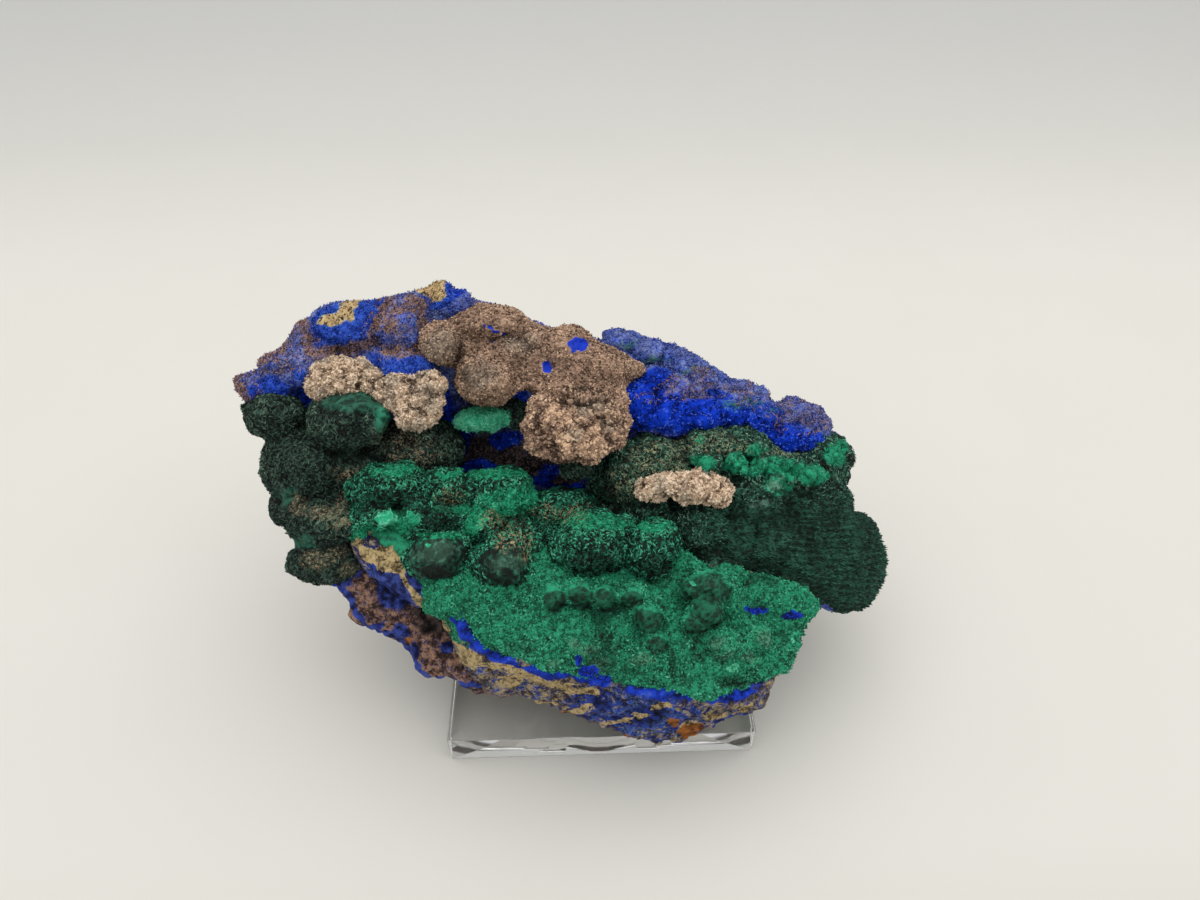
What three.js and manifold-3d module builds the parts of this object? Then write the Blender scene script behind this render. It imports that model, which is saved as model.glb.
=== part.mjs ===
// Azurite and malachite specimen, resting on a clear acrylic stand with three pegs.
// Millimetres, +Z up. The origin is the centre of the stand's underside; -Y is the side that faces the viewer.
import * as THREE from "three";
import { mergeVertices } from "three/addons/utils/BufferGeometryUtils.js";
import Module from "manifold-3d";

// ---------------------------------------------------------------- driving dimensions
const BASE = { width: 76.2, depth: 63.5, height: 9.5, bevel: 0.4 };
const PEG = { radius: 6, height: 24, round: 1.5, sides: 24 };
const PEG_PLACES = {
  peg_front: [0, -16.5],
  peg_back_left: [-20.5, 6],
  peg_back_right: [20.5, 6],
};
const REST_GAP = 0.3; // clearance between the rock and each peg that carries it

// The rock's face leans back on the stand. u runs to the right across the face, v up it, and w out of it.
const FACE = {
  centre: new THREE.Vector3(-9, 3.8, 53.5),
  lean: THREE.MathUtils.degToRad(48.3), // how far the face looks up
  turn: THREE.MathUtils.degToRad(2.3), // how far it looks to the right
  taper: 200, // the relief draws together towards a point this far out of the face
};
const OUT = new THREE.Vector3(
  Math.sin(FACE.turn) * Math.cos(FACE.lean),
  -Math.cos(FACE.turn) * Math.cos(FACE.lean),
  Math.sin(FACE.lean),
);
const ACROSS = new THREE.Vector3(Math.cos(FACE.turn), Math.sin(FACE.turn), 0);
const UP_FACE = new THREE.Vector3().crossVectors(OUT, ACROSS);

// Turns a place on the face (u, v, w) into a point of the part.
function onFace(u, v, w) {
  const drawn = 1 - w / FACE.taper;
  return FACE.centre
    .clone()
    .addScaledVector(ACROSS, u * drawn)
    .addScaledVector(UP_FACE, v * drawn)
    .addScaledVector(OUT, w);
}

// ---------------------------------------------------------------- the rock's outlines and relief
// The wall is the main mass, with the blue crust above and green growth below. Each outline is [u, v].
const WALL = [
  [-76, 35], [-70.5, 38], [-64, 44], [-60, 48.5], [-50.5, 52], [-39, 53], [-31, 55], [-25, 57.5],
  [-22, 54.5], [-11.5, 49.5], [0.5, 44], [8.5, 41.5], [12.5, 39], [13.5, 42.5], [21.5, 41.5],
  [35.5, 34.5], [48.5, 25.5], [59, 21.5], [67.5, 16], [71.5, 8], [69.5, -1.5], [74, -8],
  [77, -14], [75, -23], [67.5, -27], [54, -27], [31.5, -33], [7.5, -33], [-15.5, -30], [-34, -21.5],
  [-45, -17], [-56.5, -13.5], [-64, -6.5], [-68, 5], [-67, 11], [-70.5, 19.5], [-74, 29],
];
// Spot heights of the wall's front, [u, v, w].
const WALL_FRONT = [
  [-74.5, 34, 0], [-60, 43, 1], [-45.5, 48, 1], [-53, 39, 5], [-26.5, 52.5, -3], [-36.5, 43, 5],
  [-36.5, 34.5, 4], [-17, 44.5, 3], [-0.5, 39, 4], [11.5, 33.5, 4], [1, 21.5, 7], [16.5, 38, -6],
  [31, 32.5, -7], [25.5, 23, -1], [45.5, 24.5, -8], [45, 17, 0], [67, 13.5, -8], [34, 5.5, 3],
  [53.5, 4.5, 2], [68, -1.5, -5], [19.5, 6, -4], [10, 9, -10], [-13.5, 15, -14], [-25.5, 13.5, -12],
  [-2, 9.5, -13], [-39.5, 19, -7], [-60.5, 22.5, 0], [-63.5, 6, 0], [-57, -6.5, -2], [-42.5, 4.5, -4],
  [-26.5, -5.5, 0], [43, -12, -4], [69.5, -13.5, -6], [51.5, -24.5, -8], [32.5, -23.5, -4],
  [8.5, -22, -4], [-20, -25, -6],
];
// Spot heights of its back, which turns level over the pegs.
const WALL_BACK = [
  [-66, 32, -14], [-45, 44, -18], [-20, 47, -19], [12, 34, -25], [42, 25, -22], [62, 12, -18],
  [-50, 22, -26], [-20, 26, -31], [14, 20, -32], [40, 10, -29], [-52, 0, -22], [-22, 6, -28],
  [10, 2, -28], [38, -4, -25], [62, -12, -18], [-11.5, -12, -17.5], [9, -12, -17.5],
  [29.5, -12, -17.5], [-38, -12, -14], [52, -20, -14], [9, -27, -6], [-20, -24, -8], [34, -26, -7],
];
// The shelf is the thick tongue along the bottom. Its brow is the top edge of the broken front, and its lip the bottom.
const SHELF_BROW = [
  [-49.5, 0], [-44.5, 5], [-26, 7.5], [-4.5, 3.5], [14, -3], [33, -14], [49.5, -18.5], [59.5, -25.5],
  [57, -30], [55, -35.5], [51.5, -40.5], [47.5, -44.5], [42.5, -47], [35, -47.5], [28.5, -46],
  [19, -44.5], [7.5, -42.5], [-2, -39], [-11.5, -35.5], [-18, -34], [-23, -29.5], [-26, -25],
  [-30, -20.5], [-36, -18.5], [-42, -15], [-47, -9],
];
const SHELF_LIP = [
  [-50, -1.5], [-45, 6], [-26, 8.5], [-4.5, 4.5], [14.5, -2], [33, -12.5], [50, -17], [60, -25.5],
  [57.5, -30], [56, -35.5], [52.5, -41], [48.5, -45.5], [44.5, -50.5], [35.5, -52], [30.5, -55],
  [19.5, -56.5], [6.5, -51.5], [-2.5, -47.5], [-11.5, -44], [-20, -41], [-25, -35.5], [-28, -26.5],
  [-31, -22.5], [-37, -20], [-43, -16.5], [-48, -10.5],
];
const SHELF_TOP = [
  [-44, 0, 4], [-26, 4, 2], [-4, 0, 0], [14, -7, 2], [33, -18, 6], [52, -24, 4], [-40, -10, 8],
  [-26, -16, 11], [-8, -20, 11], [10, -24, 11], [30, -28, 11], [48, -34, 8], [-24, -24, 12],
  [-10, -32, 15], [8, -39, 16], [26, -42, 15], [42, -43, 12], [-34, -17, 9],
];
const SHELF_LIP_W = { front: 2, back: -4 }; // height of the lip along the front and the back
const SHELF_BACK = [
  [-40, -4, -10], [-20, 0, -14], [10, -6, -14], [40, -16, -12], [52, -28, -6], [-28, -16, -8],
  [-8, -18, -14], [9, -28.4, -3], [9, -20, -9.5], [30, -22, -9], [-10, -30, -2], [30, -36, 1],
  [10, -42, 2], [44, -42, 0],
];
// The thin plate under the shelf's left end, with a hollow between them.
const UNDERPLATE = [
  [-53.5, -13.5], [-50.5, -18], [-49.5, -21.5], [-46, -25], [-39, -28.5], [-37, -32.5],
  [-34.5, -36.5], [-28, -38.5], [-20, -41], [-12, -40], [-12, -32], [-22, -22], [-34, -14],
  [-43, -9], [-50, -9],
];
const UNDERPLATE_FRONT = [
  [-50, -15, -3], [-46, -22, -2], [-38, -27, -1], [-31, -35, 1], [-20, -38, 1], [-40, -19, -6],
  [-30, -26, -8], [-20, -32, -5],
];
const UNDERPLATE_BACK = [[-50, -15, -10], [-34, -28, -12], [-20, -36, -8], [-30, -16, -13]];

// The pale crust lies over the wall's upper middle, and its low end hangs over the dark hollow.
const CRUST = [
  [-20.5, 51.5], [-12, 50], [-1.5, 44.5], [4.5, 44], [12, 39], [17, 37.5], [21.5, 33], [17.5, 30.5],
  [16, 26], [16, 19.5], [13, 14], [5.5, 12.5], [-1.5, 13.5], [-6, 17], [-5.5, 22], [-4, 26.5],
  [-8, 29], [-13, 28], [-18.5, 26], [-23.5, 28.5], [-25, 34.5], [-30.5, 38.5], [-31.5, 42.5],
  [-28.5, 46.5], [-23, 48],
];
const CRUST_FRONT = [
  [-27, 42, 8], [-16.5, 43, 11], [-17, 32.5, 12], [-11, 47, 5], [-0.5, 40, 7], [-0.5, 32.5, 10],
  [11.5, 34, 9], [19, 33.5, 4], [5.5, 26.5, 12], [5, 19, 15], [11.5, 16, 12], [-2.5, 17, 12],
  [-23.5, 31.5, 9], [-8, 29.5, 8],
];
const CRUST_BACK = [
  [-27, 42, -6], [-16.5, 43, -8], [-0.5, 40, -8], [11.5, 34, -8], [5, 21.5, 2], [5, 14, 3],
  [-17, 30, -4],
];

// Rounded growths: [u, v, w of the centre, then the half sizes across, up and out].
const LOBES = {
  azurite: [
    [-37, 40, 3, 6.5, 7, 6], [-37, 33.5, 5, 8, 5, 6], [-60, 36, 2, 11, 7, 6], [-50, 44.5, 2, 12, 6, 6],
    [30, 33, -8, 12, 6, 7], [48, 24, -9, 12, 5.5, 7], [60, 17, -8, 8, 5, 7],
  ],
  leftColumn: [
    [-68, 26, -1, 8, 6.5, 9], [-48, 24.5, 3, 9.5, 7, 9], [-61.5, 15, -3, 11, 9, 11],
    [-50.5, 10, -4, 10, 9, 11], [-37.5, 17, -8, 13, 8, 10], [-60, -0.5, -3, 9.5, 8.5, 11],
    [-54.5, -8, -4, 7.5, 6.5, 9],
  ],
  shelfBack: [
    [-40.5, 7, 0, 12, 7.5, 9], [-26.5, 6.5, 1, 9, 7.5, 9], [-16, 2.5, 0, 12, 9, 10],
    [-44.5, -2.5, 2, 8, 7, 8], [-29.5, -9, 8, 9, 7.5, 10], [-14, -12.5, 8, 8.5, 7.5, 10],
    [-3.5, 1, -3, 11, 7, 9], [9, -9, 4, 14, 10, 12], [21.5, -11.5, 3, 9.5, 9, 11],
  ],
  rightMass: [
    [21.5, 6, -7, 15.5, 11.5, 14], [43, 11.5, -6, 18, 9, 13], [50.5, 2, -3, 15, 11, 14],
    [64.5, 8, -9, 8.5, 9.5, 12], [37, -7, -9, 15, 12, 14], [57.5, -9, -10, 14, 13, 16],
    [68, -15, -12, 9.5, 12, 13], [44, -18, -7, 14, 9, 12],
  ],
  shelfTop: [
    [35, -23.5, 5, 8.5, 8.5, 9], [29, -35, 5, 13, 9, 11], [8, -31, 5, 15, 9, 10],
    [-14.5, -24.5, 5, 13.5, 9, 10],
  ],
  crusts: [
    [-50.5, 34, 4, 9.5, 5.5, 6], [-34.5, 29, 5, 9.5, 7.5, 7], [35, 3.5, 7, 8, 4, 6],
    [24, 4, 5, 6.5, 3.5, 6],
  ],
  finger: [[-17.5, 23, -2, 7, 3.5, 5], [-9.5, 23.5, -4, 6, 5.5, 6]],
};

const SPOT_REACH = 8; // how far a spot height is felt, millimetres
const MESH = { around: 52, rings: 5, lobeAround: 10, lobeRings: 7 };
const SIMPLIFY = 0.35; // how far the joined surface may move as needless points are dropped, millimetres

// ---------------------------------------------------------------- shape helpers
const wasm = await Module();
wasm.setup();

// Height at (u, v): the mean of the spot heights, weighted by a bell curve of their distance.
function heightAt(spots, u, v) {
  let total = 0;
  let sum = 0;
  for (const [su, sv, sw] of spots) {
    const far2 = (u - su) ** 2 + (v - sv) ** 2;
    const weight = Math.exp(-far2 / (2 * SPOT_REACH ** 2)) + 1e-5 / (1 + far2);
    total += weight;
    sum += weight * sw;
  }
  return sum / total;
}

// Evenly spaced points on the smooth closed curve through an outline's points.
function smoothRing(outline, count) {
  const points = outline.map(([u, v]) => new THREE.Vector3(u, v, 0));
  const curve = new THREE.CatmullRomCurve3(points, true, "centripetal");
  return Array.from({ length: count }, (_, i) => curve.getPoint(i / count));
}

function centreOf(ring) {
  const sum = ring.reduce((a, p) => a.add(p), new THREE.Vector3());
  return sum.divideScalar(ring.length);
}

// A closed skin through a front pole, a list of rings [u, v, w] and a back pole.
function skin(front, rings, back) {
  const count = rings[0].length;
  const places = [front, ...rings.flat(), back];
  const position = places.flatMap(([u, v, w]) => onFace(u, v, w).toArray());
  const last = places.length - 1;
  const index = [];
  const at = (ring, i) => 1 + ring * count + (i % count);
  for (let i = 0; i < count; i++) {
    index.push(0, at(0, i), at(0, i + 1));
    for (let ring = 0; ring + 1 < rings.length; ring++) {
      index.push(at(ring, i), at(ring + 1, i), at(ring + 1, i + 1));
      index.push(at(ring, i), at(ring + 1, i + 1), at(ring, i + 1));
    }
    index.push(at(rings.length - 1, i), last, at(rings.length - 1, i + 1));
  }
  return solidFrom(position, index);
}

// A manifold-3d solid from positions and triangles, turned to face outwards.
function solidFrom(position, index) {
  const make = (order) =>
    new wasm.Manifold(
      new wasm.Mesh({
        numProp: 3,
        vertProperties: new Float32Array(position),
        triVerts: new Uint32Array(order),
      }),
    );
  const made = make(index);
  return made.volume() > 0 ? made : make([...index].reverse());
}

// A pebble: both sides swell from its rim, and follow their spot heights inside it.
function pebble(outline, frontSpots, backSpots) {
  const rim = smoothRing(outline, MESH.around);
  const centre = centreOf(rim);
  const rings = [];
  for (let ring = 1; ring < 2 * MESH.rings; ring++) {
    const angle = (Math.PI * ring) / (2 * MESH.rings);
    const spread = Math.sin(angle) ** 0.6;
    const swell = Math.abs(Math.cos(angle)) ** 0.7;
    const spots = ring <= MESH.rings ? frontSpots : backSpots;
    rings.push(
      rim.map((p) => {
        const [u, v] = [0, 1].map((k) => {
          const c = centre.getComponent(k);
          return c + (p.getComponent(k) - c) * spread;
        });
        const edge = (heightAt(frontSpots, p.x, p.y) + heightAt(backSpots, p.x, p.y)) / 2;
        return [u, v, edge + (heightAt(spots, u, v) - edge) * swell];
      }),
    );
  }
  const pole = (spots) => [centre.x, centre.y, heightAt(spots, centre.x, centre.y)];
  return skin(pole(frontSpots), rings, pole(backSpots));
}

// The shelf: its top runs out to the brow, its broken front drops to the lip, and its underside closes it.
function shelf() {
  const brow = smoothRing(SHELF_BROW, MESH.around);
  const lip = smoothRing(SHELF_LIP, MESH.around);
  const centre = centreOf(brow);
  const ringAt = (edge, spread, spots) =>
    edge.map((p) => {
      const u = centre.x + (p.x - centre.x) * spread;
      const v = centre.y + (p.y - centre.y) * spread;
      return [u, v, heightAt(spots, u, v)];
    });
  const top = [0.25, 0.5, 0.75, 0.9, 1].map((s) => ringAt(brow, s, SHELF_TOP));
  const lipRing = lip.map((p) => {
    const isFront = THREE.MathUtils.smoothstep(centre.y - p.y, -10, 6);
    const w = THREE.MathUtils.lerp(SHELF_LIP_W.back, SHELF_LIP_W.front, isFront);
    return [p.x, p.y, w];
  });
  const under = [0.85, 0.6, 0.3].map((s) => ringAt(lip, s, SHELF_BACK));
  const pole = (spots) => [centre.x, centre.y, heightAt(spots, centre.x, centre.y)];
  return skin(pole(SHELF_TOP), [...top, lipRing, ...under], pole(SHELF_BACK));
}

// A rounded growth: a ball stretched to its half sizes and set on the face.
function lobe([u, v, w, across, up, out]) {
  const ball = new THREE.SphereGeometry(1, MESH.lobeAround, MESH.lobeRings);
  ball.deleteAttribute("normal");
  ball.deleteAttribute("uv");
  const closed = mergeVertices(ball, 1e-4);
  const p = closed.attributes.position;
  const position = [];
  for (let i = 0; i < p.count; i++) {
    const place = onFace(u + p.getX(i) * across, v + p.getY(i) * up, w + p.getZ(i) * out);
    position.push(...place.toArray());
  }
  return solidFrom(position, [...closed.index.array]);
}

function geometryFrom(solid) {
  const mesh = solid.getMesh();
  const geometry = new THREE.BufferGeometry();
  geometry.setAttribute("position", new THREE.BufferAttribute(mesh.vertProperties, 3));
  geometry.setIndex(new THREE.BufferAttribute(mesh.triVerts, 1));
  geometry.computeVertexNormals();
  return geometry;
}

// ---------------------------------------------------------------- the stand
const ACRYLIC = new THREE.MeshStandardMaterial({
  color: 0xf2f6f5,
  roughness: 0.03,
  metalness: 0,
  transparent: true,
  opacity: 0.35,
});

function baseGeometry() {
  const { width, depth, height, bevel } = BASE;
  const halfWidth = width / 2 - bevel;
  const halfDepth = depth / 2 - bevel;
  const plan = new THREE.Shape([
    new THREE.Vector2(-halfWidth, -halfDepth),
    new THREE.Vector2(halfWidth, -halfDepth),
    new THREE.Vector2(halfWidth, halfDepth),
    new THREE.Vector2(-halfWidth, halfDepth),
  ]);
  const block = new THREE.ExtrudeGeometry(plan, {
    depth: height - 2 * bevel,
    bevelThickness: bevel,
    bevelSize: bevel,
    bevelSegments: 1,
  });
  return block.translate(0, 0, bevel);
}

// A round rod, standing on z = 0, with its top edge rounded over. grow makes it fatter and taller all round.
function pegGeometry(grow = 0) {
  const radius = PEG.radius + grow;
  const top = PEG.height + grow;
  const profile = [new THREE.Vector2(0, 0), new THREE.Vector2(radius, 0)];
  const steps = 3;
  for (let i = 0; i <= steps; i++) {
    const angle = (Math.PI / 2) * (i / steps);
    profile.push(
      new THREE.Vector2(
        radius - PEG.round * (1 - Math.cos(angle)),
        top - PEG.round * (1 - Math.sin(angle)),
      ),
    );
  }
  profile.push(new THREE.Vector2(0, top));
  return new THREE.LatheGeometry(profile, PEG.sides).rotateX(Math.PI / 2);
}

function pegHollow([x, y]) {
  const grown = pegGeometry(REST_GAP);
  grown.deleteAttribute("normal");
  grown.deleteAttribute("uv");
  const closed = mergeVertices(grown, 1e-4).translate(x, y, BASE.height);
  return solidFrom([...closed.attributes.position.array], [...closed.index.array]);
}

// ---------------------------------------------------------------- the rock
function largestPiece(solid) {
  return solid.decompose().sort((a, b) => b.volume() - a.volume())[0];
}

function rockGeometry() {
  let rock = pebble(WALL, WALL_FRONT, WALL_BACK).add(shelf());
  rock = rock.add(pebble(UNDERPLATE, UNDERPLATE_FRONT, UNDERPLATE_BACK));
  rock = rock.add(pebble(CRUST, CRUST_FRONT, CRUST_BACK));
  for (const growth of Object.values(LOBES).flat()) rock = rock.add(lobe(growth));
  for (const place of Object.values(PEG_PLACES)) rock = rock.subtract(pegHollow(place));
  return geometryFrom(largestPiece(largestPiece(rock).simplify(SIMPLIFY)));
}

const ROCK = new THREE.MeshStandardMaterial({ color: 0x1d4f8c, roughness: 0.9, metalness: 0 });

// ---------------------------------------------------------------- the scene
const specimenOnStand = new THREE.Group();

function add(name, geometry, material) {
  const mesh = new THREE.Mesh(geometry, material);
  mesh.name = name;
  specimenOnStand.add(mesh);
  return mesh;
}

add("stand_base", baseGeometry(), ACRYLIC);
for (const [name, [x, y]] of Object.entries(PEG_PLACES)) {
  add(name, pegGeometry(), ACRYLIC).position.set(x, y, BASE.height);
}
add("specimen", rockGeometry(), ROCK);

export default specimenOnStand;
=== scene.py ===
# %% [markdown]
# # An azurite and malachite specimen on a clear stand
#
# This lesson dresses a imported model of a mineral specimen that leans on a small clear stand. The rock is
# rebuilt from rounded surfaces that are worked out with numpy, merged, and roughened. Its colours come from
# node materials. The frame that is loaded here says where everything is. Nothing in it is moved.

# %% Load the frame
import itertools
import math

import bmesh
import bpy
import numpy as np
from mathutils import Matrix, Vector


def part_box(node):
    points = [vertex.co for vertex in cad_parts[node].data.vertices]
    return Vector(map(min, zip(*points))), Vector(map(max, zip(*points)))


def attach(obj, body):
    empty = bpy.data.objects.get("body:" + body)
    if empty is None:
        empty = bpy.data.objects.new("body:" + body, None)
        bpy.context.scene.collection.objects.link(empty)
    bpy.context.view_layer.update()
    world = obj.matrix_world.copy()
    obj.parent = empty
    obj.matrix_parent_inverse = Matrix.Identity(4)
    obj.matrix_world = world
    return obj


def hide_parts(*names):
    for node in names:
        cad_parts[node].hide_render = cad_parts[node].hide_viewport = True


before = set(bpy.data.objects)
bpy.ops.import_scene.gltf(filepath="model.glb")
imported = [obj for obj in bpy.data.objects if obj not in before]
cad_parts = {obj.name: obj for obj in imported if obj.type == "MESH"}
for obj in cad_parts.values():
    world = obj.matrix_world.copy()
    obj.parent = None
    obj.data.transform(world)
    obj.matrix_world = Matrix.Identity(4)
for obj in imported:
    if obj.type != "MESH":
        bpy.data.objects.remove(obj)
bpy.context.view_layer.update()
scene = bpy.context.scene
scene.view_settings.view_transform = "Standard"
# Light is mirrored many times inside a clear block before it leaves, so more bounces than usual are followed.
scene.cycles.max_bounces = 24
scene.cycles.glossy_bounces = 20
scene.cycles.transmission_bounces = 24
print("nodes in the frame:", sorted(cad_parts))

# %% [markdown]
# ## The camera
#
# A person holding a phone looks down on the specimen from close by. A close camera with a wide lens gives
# the same strong perspective. Its place could be found by trial, but it is quicker to state it: how high it
# is, how far in front, and how steeply it looks down.

# %% Place the camera
MM = 0.001
CAMERA_PLACE = np.array([-3.6, -129.1, 202.8]) * MM
CAMERA_TURN = math.radians(1.8)  # to the right
CAMERA_DIP = math.radians(44.26)  # below level
camera = bpy.data.objects.new("camera", bpy.data.cameras.new("camera"))
camera.data.lens = 24.96
camera.data.sensor_width = 36
camera.location = CAMERA_PLACE
camera.rotation_euler = (math.pi / 2 - CAMERA_DIP, 0, -CAMERA_TURN)
scene.collection.objects.link(camera)
scene.camera = camera
print("camera height in mm:", round(camera.location.z / MM, 1))

# %% [markdown]
# ## Surfaces as arrays
#
# Every piece starts as a closed surface of two parameters: one runs round it, and the other runs from its
# front pole to its back pole. Whole arrays of points are worked out at once, and one function turns them
# into triangles. A surface that is open at a pole or turned inside out would spoil the merging that comes
# later, so the poles are closed here, once, for every shape.


# %% Closed skins and meshes
def skin(front, rings, back):
    """A closed surface: a front pole, rings of points in order, and a back pole. rings is (rings, around,
    3)."""
    ring_count, around = rings.shape[:2]
    points = np.concatenate([front[None], rings.reshape(-1, 3), back[None]])
    i = np.arange(around)
    j = (i + 1) % around
    cap = np.stack([np.zeros_like(i), 1 + i, 1 + j], axis=1)
    row = 1 + around * np.arange(ring_count - 1)[:, None]
    a, b, c, d = row + i, row + j, row + around + i, row + around + j
    first = np.stack([a, c, d], axis=-1).reshape(-1, 3)
    second = np.stack([a, d, b], axis=-1).reshape(-1, 3)
    last = 1 + around * (ring_count - 1)
    foot = np.stack([last + i, np.full_like(i, len(points) - 1), last + j], axis=1)
    return points, np.concatenate([cap, first, second, foot])


def volume(points, faces):
    """Six times the volume inside a closed surface: the sum of each triangle's triple product."""
    a, b, c = (points[faces[:, k]] for k in range(3))
    return np.einsum("ij,ij->i", a, np.cross(b, c)).sum()


def outward(surface):
    """The same surface with its triangles turned to face out."""
    points, faces = surface
    return (points, faces) if volume(points, faces) > 0 else (points, faces[:, ::-1])


def merged(surfaces):
    """Several surfaces as one list of points and one list of triangles."""
    starts = np.cumsum([0] + [len(points) for points, _ in surfaces[:-1]])
    points = np.concatenate([points for points, _ in surfaces])
    return points, np.concatenate([faces + start for (_, faces), start in zip(surfaces, starts)])


def new_mesh(name, points, faces, smooth=True):
    """A mesh of triangles, from points in millimetres."""
    mesh = bpy.data.meshes.new(name)
    mesh.vertices.add(len(points))
    mesh.vertices.foreach_set("co", (points * MM).astype(np.float32).ravel())
    mesh.loops.add(faces.size)
    mesh.loops.foreach_set("vertex_index", faces.astype(np.int32).ravel())
    mesh.polygons.add(len(faces))
    mesh.polygons.foreach_set("loop_start", np.arange(0, faces.size, 3, dtype=np.int32))
    mesh.update(calc_edges=True)
    mesh.polygons.foreach_set("use_smooth", np.full(len(faces), smooth))
    return mesh


def show(name, mesh):
    """An object at the origin that holds the mesh."""
    piece = bpy.data.objects.new(name, mesh)
    scene.collection.objects.link(piece)
    return piece


def applied(piece):
    """The piece with its modifiers made part of its mesh."""
    shaped = piece.evaluated_get(bpy.context.evaluated_depsgraph_get())
    old = piece.data
    piece.data = bpy.data.meshes.new_from_object(shaped)
    piece.modifiers.clear()
    bpy.data.meshes.remove(old)
    return piece


# %% [markdown]
# ## The floor
#
# Such specimens are shown on a sweep: one sheet of pale card that lies flat and then curves up behind. It
# is a profile carried along a straight line, so there is no corner for a shadow line to sit in.

# %% Sweep
FLOOR_FRONT, FLOOR_BACK, SWEEP_RADIUS, WALL_TOP, HALF_WIDTH = -1500, 330, 130, 420, 1600
FLOOR_LEVEL = -0.1  # a hair under the stand, so that two surfaces never share a place


def sweep_profile(arc_steps=24):
    """Points (y, z): flat to the back, a quarter circle up, then straight to the top."""
    angle = np.linspace(0, np.pi / 2, arc_steps)
    arc_y = FLOOR_BACK + SWEEP_RADIUS * np.sin(angle)
    arc_z = FLOOR_LEVEL + SWEEP_RADIUS * (1 - np.cos(angle))
    arc = np.stack([arc_y, arc_z], axis=1)
    return np.concatenate([[[FLOOR_FRONT, FLOOR_LEVEL]], arc, [[arc_y[-1], WALL_TOP]]])


profile = sweep_profile()
sides = np.array([-HALF_WIDTH, HALF_WIDTH])
sheet = np.stack(
    [np.tile(sides[:, None], (1, len(profile))), *np.broadcast_to(profile.T[:, None], (2, 2, len(profile)))],
    axis=-1,
)
left = np.arange(len(profile) - 1)
right = left + len(profile)
sheet_faces = np.concatenate(
    [np.stack([left, right, right + 1], axis=1), np.stack([left, right + 1, left + 1], axis=1)]
)
floor = show("floor", new_mesh("floor", sheet.reshape(-1, 3), sheet_faces))
print("sweep profile points:", len(profile))

# %% [markdown]
# ## The face of the rock
#
# The rock leans back, so it is easiest to describe on a sloping plane of its own. `u` runs to the right
# across that face, `v` runs up it, and `w` runs out of it. The relief draws together slightly towards a
# point in front of the face. The same rule can be turned round, so any point of the rock can be asked for
# its place on the face.

# %% Face coordinates
FACE_CENTRE = np.array([-9, 3.8, 53.5])
FACE_LEAN = math.radians(48.3)
FACE_TURN = math.radians(2.3)
TAPER = 200
OUT = np.array(
    [
        math.sin(FACE_TURN) * math.cos(FACE_LEAN),
        -math.cos(FACE_TURN) * math.cos(FACE_LEAN),
        math.sin(FACE_LEAN),
    ]
)
ACROSS = np.array([math.cos(FACE_TURN), math.sin(FACE_TURN), 0])
UP_FACE = np.cross(OUT, ACROSS)


def on_face(place):
    """Points of the part from places (u, v, w): the centre, plus u across and v up, both drawn in by w /
    TAPER, plus w out."""
    u, v, w = np.moveaxis(np.asarray(place, float), -1, 0)[..., None]
    drawn = 1 - w / TAPER
    return FACE_CENTRE + ACROSS * u * drawn + UP_FACE * v * drawn + OUT * w


def face_place(points):
    """Places (u, v, w) from points of the part: on_face turned round."""
    offset = points - FACE_CENTRE
    w = offset @ OUT
    drawn = 1 - w / TAPER
    return np.stack([offset @ ACROSS / drawn, offset @ UP_FACE / drawn, w], axis=1)


print("the face looks up by", round(math.degrees(FACE_LEAN), 1), "degrees")

# %% [markdown]
# ## Noise
#
# Minerals are rough at every size. Two kinds of noise are enough. The first blends random values on a
# lattice, and gives soft waves. The second measures the distance to the nearest of a scatter of seed
# points, and gives the round knobs that malachite grows in. Both read a repeatable hash, so the rock is the
# same each time.


# %% Noise on arrays of points
def lattice(cell, seed):
    """Repeatable values from 0 to 1 at whole-number cells: their numbers are multiplied, mixed by xor and
    shifted."""
    n = cell.astype(np.int64)
    mixed = n[:, 0] * 73856093 ^ n[:, 1] * 19349663 ^ n[:, 2] * 83492791 ^ (seed + 1) * 2654435761
    mixed = (mixed ^ mixed >> 13) * 1274126177 & 0xFFFFFFFF
    return ((mixed ^ mixed >> 16) & 0xFFFFFF) / 0xFFFFFF


def waves(points, size, seed=0):
    """Soft noise from -1 to 1: lattice values that far apart, blended by 3t^2 - 2t^3 between the corners."""
    base = np.floor(points / size)
    t = points / size - base
    t = t * t * (3 - 2 * t)
    total = 0
    for corner in itertools.product((0, 1), repeat=3):
        weight = np.prod(np.where(corner, t, 1 - t), axis=1)
        total = total + weight * lattice(base + corner, seed)
    return 2 * total - 1


def drift(points, size, seed=0):
    """A sideways push from -1 to 1 along each axis: three soft noises."""
    return np.stack([waves(points, size, seed + 5 * k) for k in range(3)], axis=1)


def rough(points, size, octaves, seed=0):
    """Waves at halving sizes and halving heights, added up."""
    return sum(waves(points, size / 2**k, seed + k) / 2**k for k in range(octaves))


def knobs(points, size, seed=0, reach=0.72):
    """Round domes from 0 to 1: the height of a ball of that reach, in cells, round the nearest of one seed
    per cell."""
    base = np.floor(points / size)
    nearest = np.full(len(points), 9.0)
    for step in itertools.product((-1, 0, 1), repeat=3):
        cell = base + step
        seeds = cell + np.stack([lattice(cell, seed + 7 * k) for k in range(3)], axis=1)
        nearest = np.minimum(nearest, ((points / size - seeds) ** 2).sum(axis=1))
    return np.sqrt(np.clip(1 - nearest / reach**2, 0, 1))


def worms(points, size, seed=0):
    """Short bent ridges from 0 to 1: highest along the lines where drifted noise changes sign, and 0 away
    from them."""
    bent = points + 0.35 * size * drift(points, 0.7 * size, seed + 1)
    return 1 - np.minimum(2.4 * np.abs(waves(bent, size, seed)), 1)


print("noise sample:", waves(np.array([[1.5, 2.5, 3.5]]), 1.0).round(3))

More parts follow.
